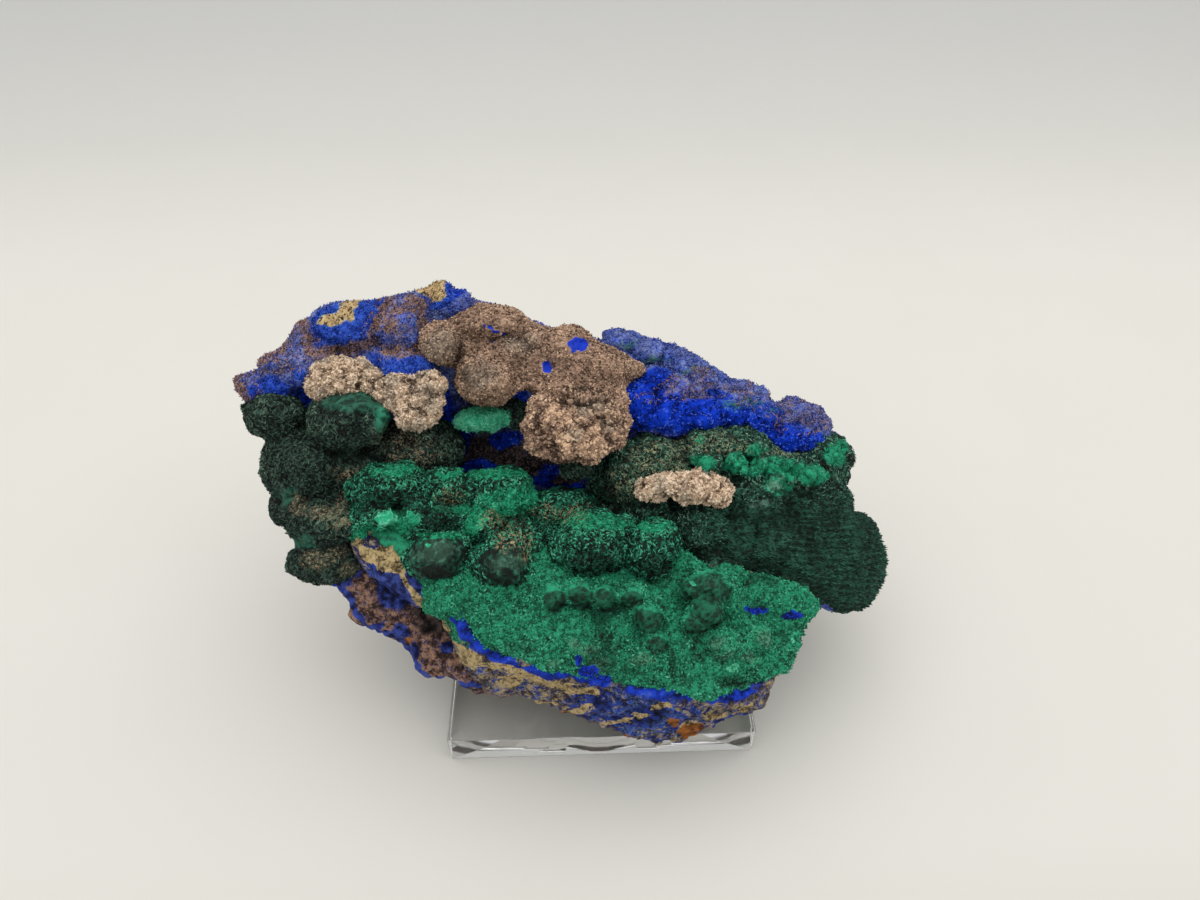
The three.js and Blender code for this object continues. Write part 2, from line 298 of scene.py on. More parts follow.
# %% [markdown]
# ## Pebbles, shelves and lobes
#
# The rock's masses are three kinds of form. A pebble fills an outline, and its front and back swell from
# the rim towards spot heights, as a map's relief does. The shelf is a lens with a flat broken edge. A lobe
# is a stretched ball. Sculpting by hand would also work, but a short table of places can be read, checked
# and changed.


# %% Form makers
def height_at(spots, u, v, reach=7.0):
    """Height at (u, v): the mean of the spots' heights, weighted by a bell curve of their distance."""
    su, sv, sw = np.asarray(spots, float).T
    far = (u[..., None] - su) ** 2 + (v[..., None] - sv) ** 2
    weight = np.exp(-far / (2 * reach**2)) + 1e-5 / (1 + far)
    return (weight * sw).sum(axis=-1) / weight.sum(axis=-1)


def smooth_ring(outline, count):
    """Points spaced along a closed outline: a Catmull-Rom cubic through each outline point and its
    neighbours."""
    p = np.asarray(outline, float)
    t = np.linspace(0, len(p), count, endpoint=False)
    i = t.astype(int)
    t = (t - i)[:, None]
    a, b, c, d = (p[(i + k) % len(p)] for k in (-1, 0, 1, 2))
    return 0.5 * (2 * b + (c - a) * t + (2 * a - 5 * b + 4 * c - d) * t**2 + (3 * b - a - 3 * c + d) * t**3)


def pole(centre, spots, lift=0):
    """The place in the middle of an outline, that far above the spots' height."""
    return [*centre, height_at(spots, centre[:1], centre[1:])[0] + lift]


def closed(front, rings, back):
    """A skin through places on the face, turned to face out."""
    return outward(skin(on_face(front), on_face(rings), on_face(back)))


def pebble(outline, front, back, edge=0.7, around=260, rings=26):
    """Closed form in an outline. With angle a from the front pole to the back one, a ring lies sin(a)^0.6
    of the way out to the rim, and its height goes from the rim's to the spot heights by |cos(a)|^edge."""
    rim = smooth_ring(outline, around)
    centre = rim.mean(axis=0)
    angle = np.linspace(0, np.pi, 2 * rings + 1)[1:-1, None]
    u, v = (centre[k] + (rim[:, k] - centre[k]) * np.sin(angle) ** 0.6 for k in (0, 1))
    rim_w = (height_at(front, *rim.T) + height_at(back, *rim.T)) / 2
    swell = np.abs(np.cos(angle)) ** edge
    spots_w = np.where(angle <= np.pi / 2, height_at(front, u, v), height_at(back, u, v))
    place = np.stack([u, v, rim_w + (spots_w - rim_w) * swell], axis=-1)
    return closed(pole(centre, front), place, pole(centre, back))


def lobe(u, v, w, across, up, out, around=56, rings=28):
    """A ball stretched to three half sizes: (across cos b sin a, up sin b sin a, out cos a) about its
    centre."""
    a = np.linspace(0, np.pi, rings + 1)[1:-1, None]
    b = np.linspace(0, 2 * np.pi, around, endpoint=False)
    place = np.stack(
        [
            u + across * np.cos(b) * np.sin(a),
            v + up * np.sin(b) * np.sin(a),
            w + out * np.cos(a) * np.ones_like(b),
        ],
        axis=-1,
    )
    return closed([u, v, w + out], place, [u, v, w - out])


def lobes(table):
    """Several lobes, from rows of (u, v, w, across, up, out)."""
    return [lobe(*row) for row in table]


# %% [markdown]
# ## Merging and roughening
#
# Overlapping forms are joined, and a voxel remesh gives them one even skin, as if they had grown together.
# Smoothing fills the creases a little, and a slow drift makes the balls uneven. How far each point then
# stands out from a much smoother copy is kept on the mesh, so that the materials can paint shade in the
# creases and light on the raised places. The side that shows is then cut finer, and each point moves out
# along its normal by a swell and by a fine grain. Both amounts are kept on the mesh: the grain sets how light
# each place is, and the hollows of the swell are painted darker, as painted shade. Places of colour are ovals
# and lines on the face. They are read through a second drift, so that their edges come out ragged.


# %% Places of colour
FAR = -1.5  # the depth that is given to every place well outside a mark


def patches(place, ovals):
    """How deep each place lies in the nearest oval (u, v, half across, half up): 1 in its middle, 0 on its
    rim."""
    depth = np.full(len(place), FAR)
    for u, v, across, up in ovals:
        depth = np.maximum(depth, 1 - np.hypot((place[:, 0] - u) / across, (place[:, 1] - v) / up))
    return depth


def nearest_on(place, route):
    """How far each place lies from a route of straight lines on the face."""
    nearest = np.full(len(place), np.inf)
    for start, end in zip(route[:-1], route[1:]):
        along = end - start
        t = np.clip((place[:, :2] - start) @ along / (along @ along), 0, 1)
        nearest = np.minimum(nearest, np.linalg.norm(place[:, :2] - start - t[:, None] * along, axis=1))
    return nearest


def seam(place, route, half):
    """How deep each place lies in a band along a route on the face: 1 on the route, 0 that far from it."""
    return np.maximum(1 - nearest_on(place, np.asarray(route, float)) / half, FAR)


def field(place, outline, soft=2.0):
    """How deep each place lies inside an outline: 0 on it, and 1 once it is soft millimetres in."""
    route = np.array([*outline, outline[0]], float)
    inside = np.zeros(len(place), bool)
    for start, end in zip(route[:-1], route[1:]):
        along = end - start
        spans = (start[1] > place[:, 1]) != (end[1] > place[:, 1])
        inside ^= spans & (place[:, 0] < start[0] + along[0] * (place[:, 1] - start[1]) / (along[1] or 1e-9))
    nearest = nearest_on(place, route)
    return np.clip(np.where(inside, nearest, -nearest) / soft, FAR, 1)


def ragged(place):
    """Places pushed about by two sizes of noise, for uneven edges."""
    return place + 1.1 * drift(place, 4.5, 91) + 0.5 * drift(place, 1.5, 95)


# %% Reading and moving a mesh
def points_and_normals(mesh):
    """Vertex places in millimetres, and vertex normals."""
    points = np.empty(3 * len(mesh.vertices), np.float32)
    normals = np.empty_like(points)
    mesh.vertices.foreach_get("co", points)
    mesh.vertex_normals.foreach_get("vector", normals)
    return points.reshape(-1, 3).astype(float) / MM, normals.reshape(-1, 3).astype(float)


def move_points(mesh, points):
    """The mesh's vertices put at these places in millimetres."""
    mesh.vertices.foreach_set("co", (points * MM).astype(np.float32).ravel())
    mesh.update()


def store(mesh, name, values):
    """Keeps one number per point on the mesh, for the materials."""
    attribute = mesh.attributes.new(name, "FLOAT", "POINT")
    attribute.data.foreach_set("value", np.asarray(values, np.float32))


def cut_finer(mesh, chosen):
    """Each face whose corners are all chosen is cut in four, and its neighbours' edges stay joined to it."""
    cutter = bmesh.new()
    cutter.from_mesh(mesh)
    edges = [edge for edge in cutter.edges if chosen[edge.verts[0].index] and chosen[edge.verts[1].index]]
    bmesh.ops.subdivide_edges(cutter, edges=edges, cuts=1, use_grid_fill=True)
    cutter.to_mesh(mesh)
    cutter.free()


def triangles(mesh):
    """How many triangles the mesh makes."""
    mesh.calc_loop_triangles()
    return len(mesh.loop_triangles)


# %% Grown masses
def facing(place, normals):
    """The side that shows: whatever faces out of the rock's face, or nearly."""
    return normals @ OUT > -0.1


def turned_away(normals):
    """1 on the rock's back, 0 on its face, and a blend round its sides."""
    return np.clip(0.5 - 2.5 * (normals @ OUT), 0, 1)


def ride_as_rock(piece):
    """The piece rides on the part's one body."""
    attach(piece, "root")


def crowns(name, mesh, rounds=60):
    """How far each point stands out, in millimetres, from a much smoother copy of the mesh. Creases are
    under 0."""
    even = show(name + "_even", mesh.copy())
    smooth = even.modifiers.new("even", "SMOOTH")
    smooth.iterations = rounds
    smooth.factor = 0.6
    ground, _ = points_and_normals(applied(even).data)
    bpy.data.meshes.remove(even.data)
    points, normals = points_and_normals(mesh)
    return ((points - ground) * normals).sum(axis=1)


def grown(name, surfaces, voxel, growth, paint, shows=facing, soften=5, unrest=0.9, depth=0.35):
    """One mass: the surfaces merged, softened and drifted, cut finer where it shows, and moved out by the
    swell and the grain that growth(points) gives. paint(place, normals)'s numbers are stored on it."""
    piece = show(name, new_mesh(name, *merged(surfaces)))
    remesh = piece.modifiers.new("merge", "REMESH")
    remesh.mode = "VOXEL"
    remesh.voxel_size = voxel * MM
    smooth = piece.modifiers.new("soften", "SMOOTH")
    smooth.iterations = soften
    smooth.factor = 0.6
    mesh = applied(piece).data
    points, normals = points_and_normals(mesh)
    move_points(mesh, points + unrest * drift(points, 7, 81) + 0.4 * unrest * drift(points, 2.6, 85))
    # Kept for painted shade: the materials darken creases and lighten raised places by how far each stands
    # out.
    store(mesh, "crown", np.clip(crowns(name, mesh) / 1.5, -1, 1))
    cut_finer(mesh, shows(face_place(points), normals))
    points, normals = points_and_normals(mesh)
    swell, grain = growth(points)
    points = points + normals * (swell + depth * (grain - 0.5))[:, None]
    move_points(mesh, points)
    mesh.polygons.foreach_set("use_smooth", np.full(len(mesh.polygons), True))
    # Kept for painted shade: the materials darken the swell's hollows by it.
    low, high = np.percentile(swell, (2, 98))
    store(mesh, "relief", np.clip((swell - low) / (high - low + 1e-6), 0, 1))
    store(mesh, "grain", grain)
    for key, values in paint(ragged(face_place(points)), points_and_normals(mesh)[1]).items():
        store(mesh, key, values)
    ride_as_rock(piece)
    print(f"{name}: {triangles(mesh)} triangles")
    return piece


# %% [markdown]
# ## Crystals and fibres
#
# The velvet and the sugar on such a rock are thousands of separate crystals. Each is made as a closed
# double pyramid of eight triangles, set on a point of the mass that it grows from and turned at random.
# They are worked out all at once as arrays and joined in one mesh for each mass, because loose copies would
# be lost on export.

# %% Scattered crystals
PYRAMID = np.array([[1, 0, 0], [-1, 0, 0], [0, 1, 0], [0, -1, 0], [0, 0, 1], [0, 0, -1]], float)
PYRAMID_FACES = np.array(
    [[0, 2, 4], [2, 1, 4], [1, 3, 4], [3, 0, 4], [2, 0, 5], [1, 2, 5], [3, 1, 5], [0, 3, 5]]
)


def unit(vectors):
    """The vectors at length 1."""
    return vectors / np.linalg.norm(vectors, axis=1, keepdims=True)


def crystals(name, mass, count, shape, grows, paint, seed, tones=(0, 1), comb=None):
    """That many double pyramids on a mass, where grows(place, normals) is true. shape is (half length, half
    width, stand). Each lies along the skin, and stands up from it by a random share of stand. Its half
    sizes vary from 0.6 to 1.4 of the given ones, and its grain is a random one between the two tones.
    comb(place) gives how far across and up the face each one is drawn round: 0 leaves it as it fell."""
    length, width, stand = shape
    rng = np.random.default_rng(seed)
    points, normals = points_and_normals(mass.data)
    place = face_place(points)
    rooms = np.flatnonzero(grows(ragged(place), normals) & facing(place, normals))
    roots = rng.choice(rooms, min(count, len(rooms)), replace=False)
    out = normals[roots]
    lie = unit(np.cross(out, rng.normal(size=out.shape)))
    if comb is not None:
        across, up = comb(place[roots])
        lie = unit(lie + across[:, None] * ACROSS + up[:, None] * UP_FACE)
    long_way = unit(lie + out * rng.uniform(-0.2, stand, (len(roots), 1)))
    side_way = unit(np.cross(out, long_way))
    up_way = np.cross(long_way, side_way)
    sizes = rng.uniform(0.6, 1.4, (len(roots), 3)) * (length, width, width)
    axes = np.stack([long_way, side_way, up_way], axis=1) * sizes[:, :, None]
    middle = points[roots] + out * sizes[:, 1:2] * 0.35 + rng.normal(0, 0.12, out.shape)
    corners = middle[:, None] + PYRAMID @ axes
    faces = PYRAMID_FACES + 6 * np.arange(len(roots))[:, None, None]
    piece = show(name, new_mesh(name, corners.reshape(-1, 3), faces.reshape(-1, 3), False))
    values = paint(ragged(place[roots]), out)
    values["grain"] = tones[0] + (tones[1] - tones[0]) * rng.beta(0.7, 0.7, len(roots))
    # Each crystal takes the painted shade of the place that it grows from.
    for key in ("crown", "relief"):
        kept = np.empty(len(points), np.float32)
        mass.data.attributes[key].data.foreach_get("value", kept)
        values[key] = kept[roots]
    for key, value in values.items():
        store(piece.data, key, np.repeat(value, 6))
    ride_as_rock(piece)
    print(f"{name}: {len(roots)} crystals, {8 * len(roots)} triangles")
    return piece


# %% [markdown]
# ## The wall
#
# The wall is the rock's main mass. Its upper part is covered in blue azurite, and its back and underside
# are plain matrix. It is one pebble, with lobes where the blue swells, and with smaller ones along its
# jagged upper right rim.

# %% The wall's form
WALL = [
    (-76, 35), (-70.5, 38), (-64, 44), (-60, 48.5), (-50.5, 52), (-39, 53), (-31, 55), (-25, 57.5),
    (-22, 54.5), (-11.5, 49.5), (0.5, 44), (8.5, 41.5), (12.5, 39), (13.5, 42.5), (21.5, 41.5),
    (35.5, 34.5), (48.5, 25.5), (59, 21.5), (67.5, 16), (71.5, 8), (69.5, -1.5), (74, -8), (77, -14),
    (75, -23), (67.5, -27), (54, -27), (31.5, -33), (7.5, -33), (-15.5, -30), (-34, -21.5), (-45, -17),
    (-56, -13.5), (-61, -6.5), (-64, 5), (-64.5, 11), (-67.5, 19.5), (-72.5, 29),
]
WALL_FRONT = [
    (-74.5, 34, 0), (-60, 43, 1), (-45.5, 48, 1), (-53, 39, 5), (-26.5, 52.5, -3), (-36.5, 43, 5),
    (-36.5, 34.5, 4), (-17, 44.5, 3), (-0.5, 39, 4), (11.5, 33.5, 4), (1, 21.5, 7), (16.5, 38, -6),
    (31, 32.5, -7), (25.5, 23, -1), (45.5, 24.5, -8), (45, 17, 0), (67, 13.5, -8), (34, 5.5, 3),
    (53.5, 4.5, 2), (68, -1.5, -5), (19.5, 6, -4), (10, 9, -10), (-13.5, 15, -14), (-25.5, 13.5, -12),
    (-2, 9.5, -13), (-39.5, 19, -7), (-60.5, 22.5, 0), (-61, 6, -1), (-56, -6.5, -3), (-42.5, 4.5, -4),
    (-26.5, -5.5, 0), (43, -12, -4), (69.5, -13.5, -6), (51.5, -24.5, -8), (32.5, -23.5, -4),
    (8.5, -22, -4), (-20, -25, -6),
]
WALL_BACK = [
    (-66, 32, -14), (-45, 44, -18), (-20, 47, -19), (12, 34, -25), (42, 25, -22), (62, 12, -18),
    (-50, 22, -26), (-20, 26, -31), (14, 20, -32), (40, 10, -29), (-52, 0, -22), (-22, 6, -28),
    (10, 2, -28), (38, -4, -25), (62, -12, -18), (-11.5, -12, -17.5), (9, -12, -17.5), (29.5, -12, -17.5),
    (-38, -12, -14), (52, -20, -14), (9, -27, -6), (-20, -24, -8), (34, -26, -7),
]
AZURITE_LOBES = [
    (-35.5, 45.5, 2.5, 5.2, 6, 6), (-35.5, 36, 5, 7, 4.5, 5.5), (-61, 38, 2, 9, 5.5, 5),
    (-49, 47, 1, 10, 6, 5), (-68, 32.5, 0, 7, 4, 5), (-24.5, 51, -3, 6, 5, 5), (-41.5, 38, 4, 2.5, 3, 4),
    (33.5, 29, -7, 6, 4, 5), (28, 26, -3, 8, 4.5, 5), (43, 25, -8, 9, 4, 5), (57.5, 20, -9, 8, 4, 6),
]
BAND_LOBES = [
    (20.5, 24.5, 0, 5.5, 6, 4.5), (27.5, 21.5, 0, 5.5, 4.5, 4.5), (35, 21, 0, 6, 4, 4),
    (42.5, 21.5, -1, 5, 4, 4), (50, 19.5, -2, 4.5, 4.5, 4.5), (57.5, 14.5, -2, 5, 4, 4.5),
    (63, 13, -5, 4, 3.5, 4), (23.5, 30.5, -2, 5, 2.5, 4),
]
RIM_LOBES = [
    (16.5, 39.5, -9, 5, 3.5, 5), (22.5, 37, -9, 5, 3.5, 5), (27, 35, -10, 4, 2.5, 4),
    (32, 32.5, -9, 5, 3, 5), (37, 29.5, -10, 4.5, 2.5, 4), (44, 25.5, -10, 5, 2.5, 4),
    (50, 23, -10, 4, 2, 4), (56, 20.5, -10, 4, 2, 4), (62.5, 17.5, -9, 5, 2.5, 4),
    (13.5, 40.5, -9, 2, 2, 3), (25, 38.5, -10, 1.5, 1, 2), (28.5, 36.5, -10, 1.5, 1, 2),
]

# %% Places of colour on the wall
VIVID = [
    (-68, 32, 6, 2.8), (-58.5, 28.5, 5, 5), (-60, 35.5, 1.2, 2.2), (-42, 38, 2.2, 2.2),
    (-34.5, 36, 6.2, 2.8), (-27, 24, 2.8, 8), (-23, 18, 2.5, 4.5), (-22.5, 55, 3, 3), (-7, 48.5, 13, 1.5),
    (-11, 28, 5, 2), (-8, 25.5, 3.5, 1.3), (-7.5, 21, 2.2, 2), (-12.5, 17.5, 4, 1.8), (-2.5, 9.5, 2.5, 2.5),
    (21, 25, 6.5, 8), (28, 21, 6.5, 5), (35, 21, 7, 4), (42.5, 20.5, 6, 3.5), (50, 19.5, 5.5, 5),
    (57, 14, 6, 4), (63, 12.5, 3, 3), (23.5, 30.5, 6, 2.5), (40, 25.5, 3, 1.5), (-50, -14, 8, 6),
]
BLUE_FIELD = [
    (-59, 48), (-56, 50), (-51, 52.5), (-44.5, 55), (-39.5, 54), (-41.5, 47.5), (-43, 43), (-48, 42),
    (-53.5, 41.5), (-57, 42.5), (-58.5, 45.5),
]
PEAK_BLUE = [(-31.5, 52.5), (-29, 53.5), (-25.5, 53), (-22, 52), (-23.5, 50.5), (-26.5, 50), (-30, 50.5)]
DUSTY = [
    (-62.5, 41.5, 7, 4.5), (-69, 37.5, 6, 2), (-73, 33.5, 2.5, 3), (-37, 45, 6, 5), (-34.5, 53, 6, 2),
    (-40.5, 45.5, 1.5, 6.5), (-33, 40.5, 4, 2), (-57.5, 42, 3, 2.5), (-40, 40.5, 3, 1.5), (-53, 40, 7, 1.5),
    (33.5, 30, 5, 2), (28, 26.5, 7, 2), (40.5, 26.5, 7, 1.5), (57.5, 22, 7, 2.5), (50, 24, 5, 1.5),
    (60, 17.5, 6, 2.5), (45.5, 28, 3, 1),
]
BROWN_SEAMS = [
    [
        (-39, 46.5), (-37, 50), (-34, 52), (-31.5, 50), (-31, 47), (-30.5, 43), (-32.5, 40.5), (-36, 39),
        (-39, 41),
    ],
    [(-60, 49), (-58.5, 45), (-56.5, 41.5), (-52.5, 40.5), (-48.5, 41), (-44, 41.5)],
    [(-39, 53), (-41, 47.5), (-43, 42.5)],
    [(-75.5, 36.5), (-72, 38), (-67.5, 40.5), (-64, 43)],
    [(-75.5, 35.5), (-74.5, 31.5), (-73.5, 29)],
]
FIELD_OCHRE = [
    (-56, 48), (-54.5, 49.5), (-52, 49.5), (-51, 51.5), (-48.5, 52.5), (-45.5, 53.5), (-44, 54),
    (-45, 51.5), (-46.5, 50), (-46.5, 48), (-48, 47), (-49, 48), (-50.5, 47.5), (-52, 46), (-53.5, 46.5),
    (-55, 47),
]
PEAK_OCHRE = [
    (-33, 54), (-31, 57), (-27, 59), (-24, 58), (-25, 55), (-24.5, 52.5), (-27.5, 52), (-30.5, 52.5),
]
RIM_OCHRE = [(13, 39, 2.5, 0.7)]
GREEN_SPECKS = [
    (43, 23, 6, 2), (48, 24, 5, 1.6), (53, 22, 3, 1.2), (25, 35.5, 6, 1.5), (19, 39.5, 5, 1.5),
    (33.5, 32.5, 4, 1),
]
# The hollow under the crust, where the blue is painted dark brown to near black as shade.
CAVE_SHADE = [(-15, 14, 10, 5.5), (-6.5, 11, 7.5, 4), (-21, 12.5, 5, 4), (1, 9, 6, 5)]
HOLLOW_LINE = [
    (-24, 10.5), (-19.5, 11.5), (-15.5, 11), (-12, 8), (-8.5, 8), (-4.5, 7.5), (-1.5, 5.5), (4, 5.5), (8, 4),
]


# %% Wall
def wall_growth(points):
    """Gentle swells and low knobs, bolder along the upper right, under a fine velvet."""
    place = face_place(points)
    bold = np.clip((place[:, 0] - 8) / 8, 0, 1) * np.clip((place[:, 1] - 8) / 6, 0, 1)
    swell = 0.7 * rough(points, 9, 2, 1) + (0.5 + bold) * knobs(points, 4, 2)
    return swell - 0.5, 0.5 + 0.5 * rough(points, 1.3, 2, 3)


def wall_paint(place, normals):
    """What the blue material reads: how deep each place lies in each kind of mark."""
    across, up = place[:, 0], place[:, 1]
    blue = [patches(place, VIVID), field(place, BLUE_FIELD), field(place, PEAK_BLUE)]
    blue.append(seam(place, HOLLOW_LINE, 1.3))
    ochre = [field(place, FIELD_OCHRE), field(place, PEAK_OCHRE), patches(place, RIM_OCHRE)]
    bloom_left = np.clip((-across - 18) / 8, 0, 1) * np.clip((up - 29) / 6, 0, 1)
    bloom_rim = np.clip((up + 0.45 * across - 41) / 4, 0, 1) * (across > 0)
    return {
        "vivid": np.max(blue, axis=0),
        "dusty": patches(place, DUSTY),
        "brown": np.max([seam(place, route, 1.8) for route in BROWN_SEAMS], axis=0),
        "bloom": np.maximum(bloom_left, 0.8 * bloom_rim),
        "ochre": np.max(ochre, axis=0),
        "green": patches(place, GREEN_SPECKS),
        # painted shade in the hollow
        "cave": patches(place, CAVE_SHADE),
        "hidden": turned_away(normals),
    }


def blue_shows(place, normals):
    """The part of the wall's front that no other mass covers."""
    u, v = place[:, 0], place[:, 1]
    return facing(place, normals) & ((v > 27) | ((u > 14) & (v > 10)) | ((np.abs(u + 10) < 22) & (v > 3)))


wall_forms = [pebble(WALL, WALL_FRONT, WALL_BACK), *lobes(AZURITE_LOBES + BAND_LOBES + RIM_LOBES)]
wall = grown("azurite_wall", wall_forms, 0.88, wall_growth, wall_paint, blue_shows, soften=3, depth=0.5)
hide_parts("specimen")


# %% Azurite needles
def brushed(place):
    """On the left the needles lie up and to the right, as if brushed."""
    left = np.clip((-14 - place[:, 0]) / 8, 0, 1)
    return 0.7 * left, 0.9 * left


def browned(place, normals):
    """Along the brown seams, and at the edges of the dusty places."""
    return (wall_paint(place, normals)["brown"] > 0) | (np.abs(patches(place, DUSTY)) < 0.25)


def velvety(place, normals):
    """The blue that shows, but not the deep part of it under the crust."""
    return blue_shows(place, normals) & (place[:, 2] > -14)


azurite_nap = crystals(
    "azurite_nap", wall, 21000, (0.42, 0.18, 1.0), velvety, wall_paint,
    seed=101, tones=(-0.2, 1.4), comb=brushed,
)
brown_needles = crystals(
    "brown_needles", wall, 4000, (0.6, 0.09, 0.4), browned, wall_paint,
    seed=109, tones=(-0.2, 1.1), comb=brushed,
)

# %% [markdown]
# ## The green growths on the wall
#
# Malachite grows in balls that crowd together, as soap bubbles do. On the left they stand in a column, and
# on the right they have run into one mass with a striped flap. Both are lobes on a thin base, so that no
# wall shows between them, and both are covered in short bent fibres.

# %% The left growth's form and colours
LEFT_BASE = [
    (-74, 29), (-60, 29.5), (-50, 30), (-38, 24), (-25, 22), (-23, 11), (-32, 8), (-44, 6), (-48, -6),
    (-50, -12), (-58, -12.5), (-62, -7), (-65.5, 4), (-67, 18),
]
LEFT_BASE_FRONT = [
    (-66, 26, -1), (-57, 24, -2), (-50, 24, 1), (-60, 14, 0), (-36, 16, -6), (-62, 4, -2), (-56, -4, -1),
    (-48, 8, -3),
]
LEFT_BASE_BACK = [(-60, 20, -6), (-36, 16, -12), (-58, -4, -8)]
LEFT_LOBES = [
    (-66.5, 26.2, -1, 7.2, 5.6, 9.5), (-48.7, 24.3, 5, 9.4, 7.2, 9.4), (-60.2, 14, -2, 10, 8.6, 11.5),
    (-35, 16, -7, 12.5, 7.5, 10), (-50, 13, -5, 9, 7, 9.5), (-62.8, 6, -5, 5.2, 6.5, 8.5),
    (-55.6, -0.5, -2, 8.4, 6.8, 10.8), (-56, -9, -4, 8.5, 5, 8.5), (-50.5, 4, -6, 7.5, 8.5, 8.5),
    (-57.5, 21, -6, 5, 6, 8),
]
CAP_BRIGHT = [(-44, 28.5, 6, 3.2), (-41, 23.5, 2, 4.5), (-51, 28.2, 4, 1.8)]
FOOT_BRIGHT = [(-60.5, -4, 3.5, 2), (-64, 6.5, 2.5, 2.5)]
FOOT_PALE = [
    (-56, 2.5, 7, 2), (-61, 4.5, 3, 3.5), (-52, 0, 4.5, 1.5), (-57, -8.5, 5.5, 3), (-50, -11.5, 3.5, 2),
    (-53.5, -7, 4, 1.5),
]
LEFT_SPECKS = [(-35, 16, 10, 5.5), (-50.5, 11, 5, 3), (-50.5, 5, 4, 3), (-37, 19, 8, 4)]
FINGER = [
    (-18.5, 22.5, -2, 6.5, 3.2, 5), (-13.5, 24, -3, 4, 2.5, 4.5), (-8.5, 24, -3, 5, 4, 5),
    (-3.5, 26.5, -3, 3.5, 2, 4),
]
FINGER_PALE = [(-18, 22.8, 7.5, 3.6)]
KNOB = [(5, 10.5, 0, 4.5, 3, 5)]


# %% Malachite on the left
def green_marks(place, **given):
    """What the green material reads: the given marks, no calm, and FAR for every other kind of mark."""
    none = np.full(len(place), FAR)
    kinds = ("bright", "mint", "pale", "tan", "dark", "blue")
    return {"calm": np.zeros(len(place)), **dict.fromkeys(kinds, none), **given}


def left_growth(points):
    """Low swells under a fibrous grain."""
    swell = 0.6 * rough(points, 5, 2, 11) + 0.5 * knobs(points, 2.4, 12) - 0.3
    return swell, 0.65 * worms(points, 1.3, 13) + 0.35 * (0.5 + 0.5 * waves(points, 0.8, 14))


def left_paint(place, normals):
    """The left growth's marks, with uneven dark all over."""
    return green_marks(
        place,
        bright=patches(place, CAP_BRIGHT + FOOT_BRIGHT),
        mint=patches(place, FINGER_PALE),
        pale=patches(place, FOOT_PALE),
        tan=np.maximum(patches(place, LEFT_SPECKS) - 0.25, patches(place, FOOT_PALE) - 0.1),
        dark=np.clip(0.6 + 0.4 * rough(place, 8, 2, 15), 0, 1),
    )


def left_velvet(place, normals):
    """Everywhere but where a green ball ends in a smooth skin."""
    return patches(place, CAP_BRIGHT + FOOT_BRIGHT) <= 0


left_forms = [pebble(LEFT_BASE, LEFT_BASE_FRONT, LEFT_BASE_BACK), *lobes(LEFT_LOBES + FINGER + KNOB)]
malachite_left = grown("malachite_left", left_forms, 0.72, left_growth, left_paint)
left_fibres = crystals(
    "left_fibres", malachite_left, 17000, (0.6, 0.2, 0.8), left_velvet, left_paint,
    seed=102, tones=(0, 1.2),
)

# %% The right growth's form and colours
RIGHT_BASE = [
    (15, 15.5), (22, 16.5), (32, 17), (42.5, 18), (49.5, 16.5), (54, 13), (58, 11), (64, 12.5), (68.5, 13),
    (69, 6), (68.5, -1), (74, -8), (77, -14), (76, -22), (68, -27), (54, -26), (40, -22), (26, -16),
    (12, -6), (7, 3), (9, 11),
]
RIGHT_BASE_FRONT = [
    (24, 12, 1), (40, 14, 3), (20, 4, 1), (52, 6, 7), (66, 8, 1), (36, -4, 4), (54, -8, 4), (70, -14, 0),
    (46, -20, 1), (14, 4, -2), (61, -1, 5), (60, -18, 3), (45, -3, 6),
]
RIGHT_BASE_BACK = [(24, 8, -14), (50, 4, -14), (66, -14, -18), (40, -16, -12)]
RIGHT_LOBES = [
    (23.5, 8, -4, 12, 9.5, 11), (40, 13, -3, 13, 6, 10), (49, 2, -2, 9, 9, 12), (65, 7, -8, 5.8, 8.5, 10),
    (61, -3, -7, 10, 9.5, 12), (21, -2, -5, 7, 4, 9), (33.5, -5.5, -5, 9.5, 8, 12),
    (51, -9.5, -8, 13, 8.5, 13), (37, -16.5, -7, 11, 6.5, 11), (55, -21, -9, 9, 6, 11),
    (68.5, -16.5, -12, 10, 12, 13), (72, -10, -12, 6, 6, 10),
]
RIGHT_KNOBS = [
    (43, 9, 6.5, 2, 1.5, 2.5), (46, 7, 8, 2.2, 1.8, 2.5), (49.5, 9, 7.5, 2.2, 1.8, 2.5),
    (52.5, 7.5, 8, 2.2, 1.8, 2.5), (56.5, 8, 6, 2.2, 1.5, 3), (59.5, 6.5, 4.5, 2.2, 1.8, 3),
    (63, 5.5, 2.5, 2.2, 1.8, 3.5), (48, 12, 6, 2.4, 1.8, 2.5), (36.5, 8, 7, 2.4, 1.6, 2.5),
    (33.5, 10.5, 6.5, 2.2, 1.4, 2.5), (53, 4, 9, 1.8, 1.6, 2), (57, 4, 6.5, 2.2, 1.5, 2.5),
]
RIGHT_BRIGHT = [
    (43, 9, 3, 2.5), (47, 8, 4, 3), (52, 8, 4, 2.5), (57, 7, 4, 2.5), (62, 5.5, 3.5, 2.5), (48, 12, 3, 2),
    (35, 9, 4, 2.5), (34.5, 15, 1.5, 1.2), (68, 10, 3, 3.5), (53, 3, 3.5, 2.5),
]
RIGHT_PALE = [(52.5, 3, 3.5, 2.5), (48, -1, 4, 2)]
RIGHT_SPECKS = [
    (23.5, 9.5, 9, 6), (34.5, 14, 9.5, 3), (19.5, 3.5, 7, 3), (56.5, 11.5, 6, 1.5), (15, 6.5, 3.5, 4.5),
    (42, 13, 6, 2),
]
# Painted shade in the creases between the lumps.
RIGHT_CREASE_SHADE = [
    (30.5, -12, 11, 2), (19.5, 0, 5.5, 2), (33.5, 0.5, 8, 1.5), (12, 4, 3, 4), (43.5, -4, 5, 1.5),
    (60, -14, 2, 6), (45, -16, 8, 2),
]
FLAP_ROWS = 1.5  # spacing of the flap's stripes
COMB_PULL = 2.2  # how strongly the flap's fibres are drawn across, where 1 would be half way


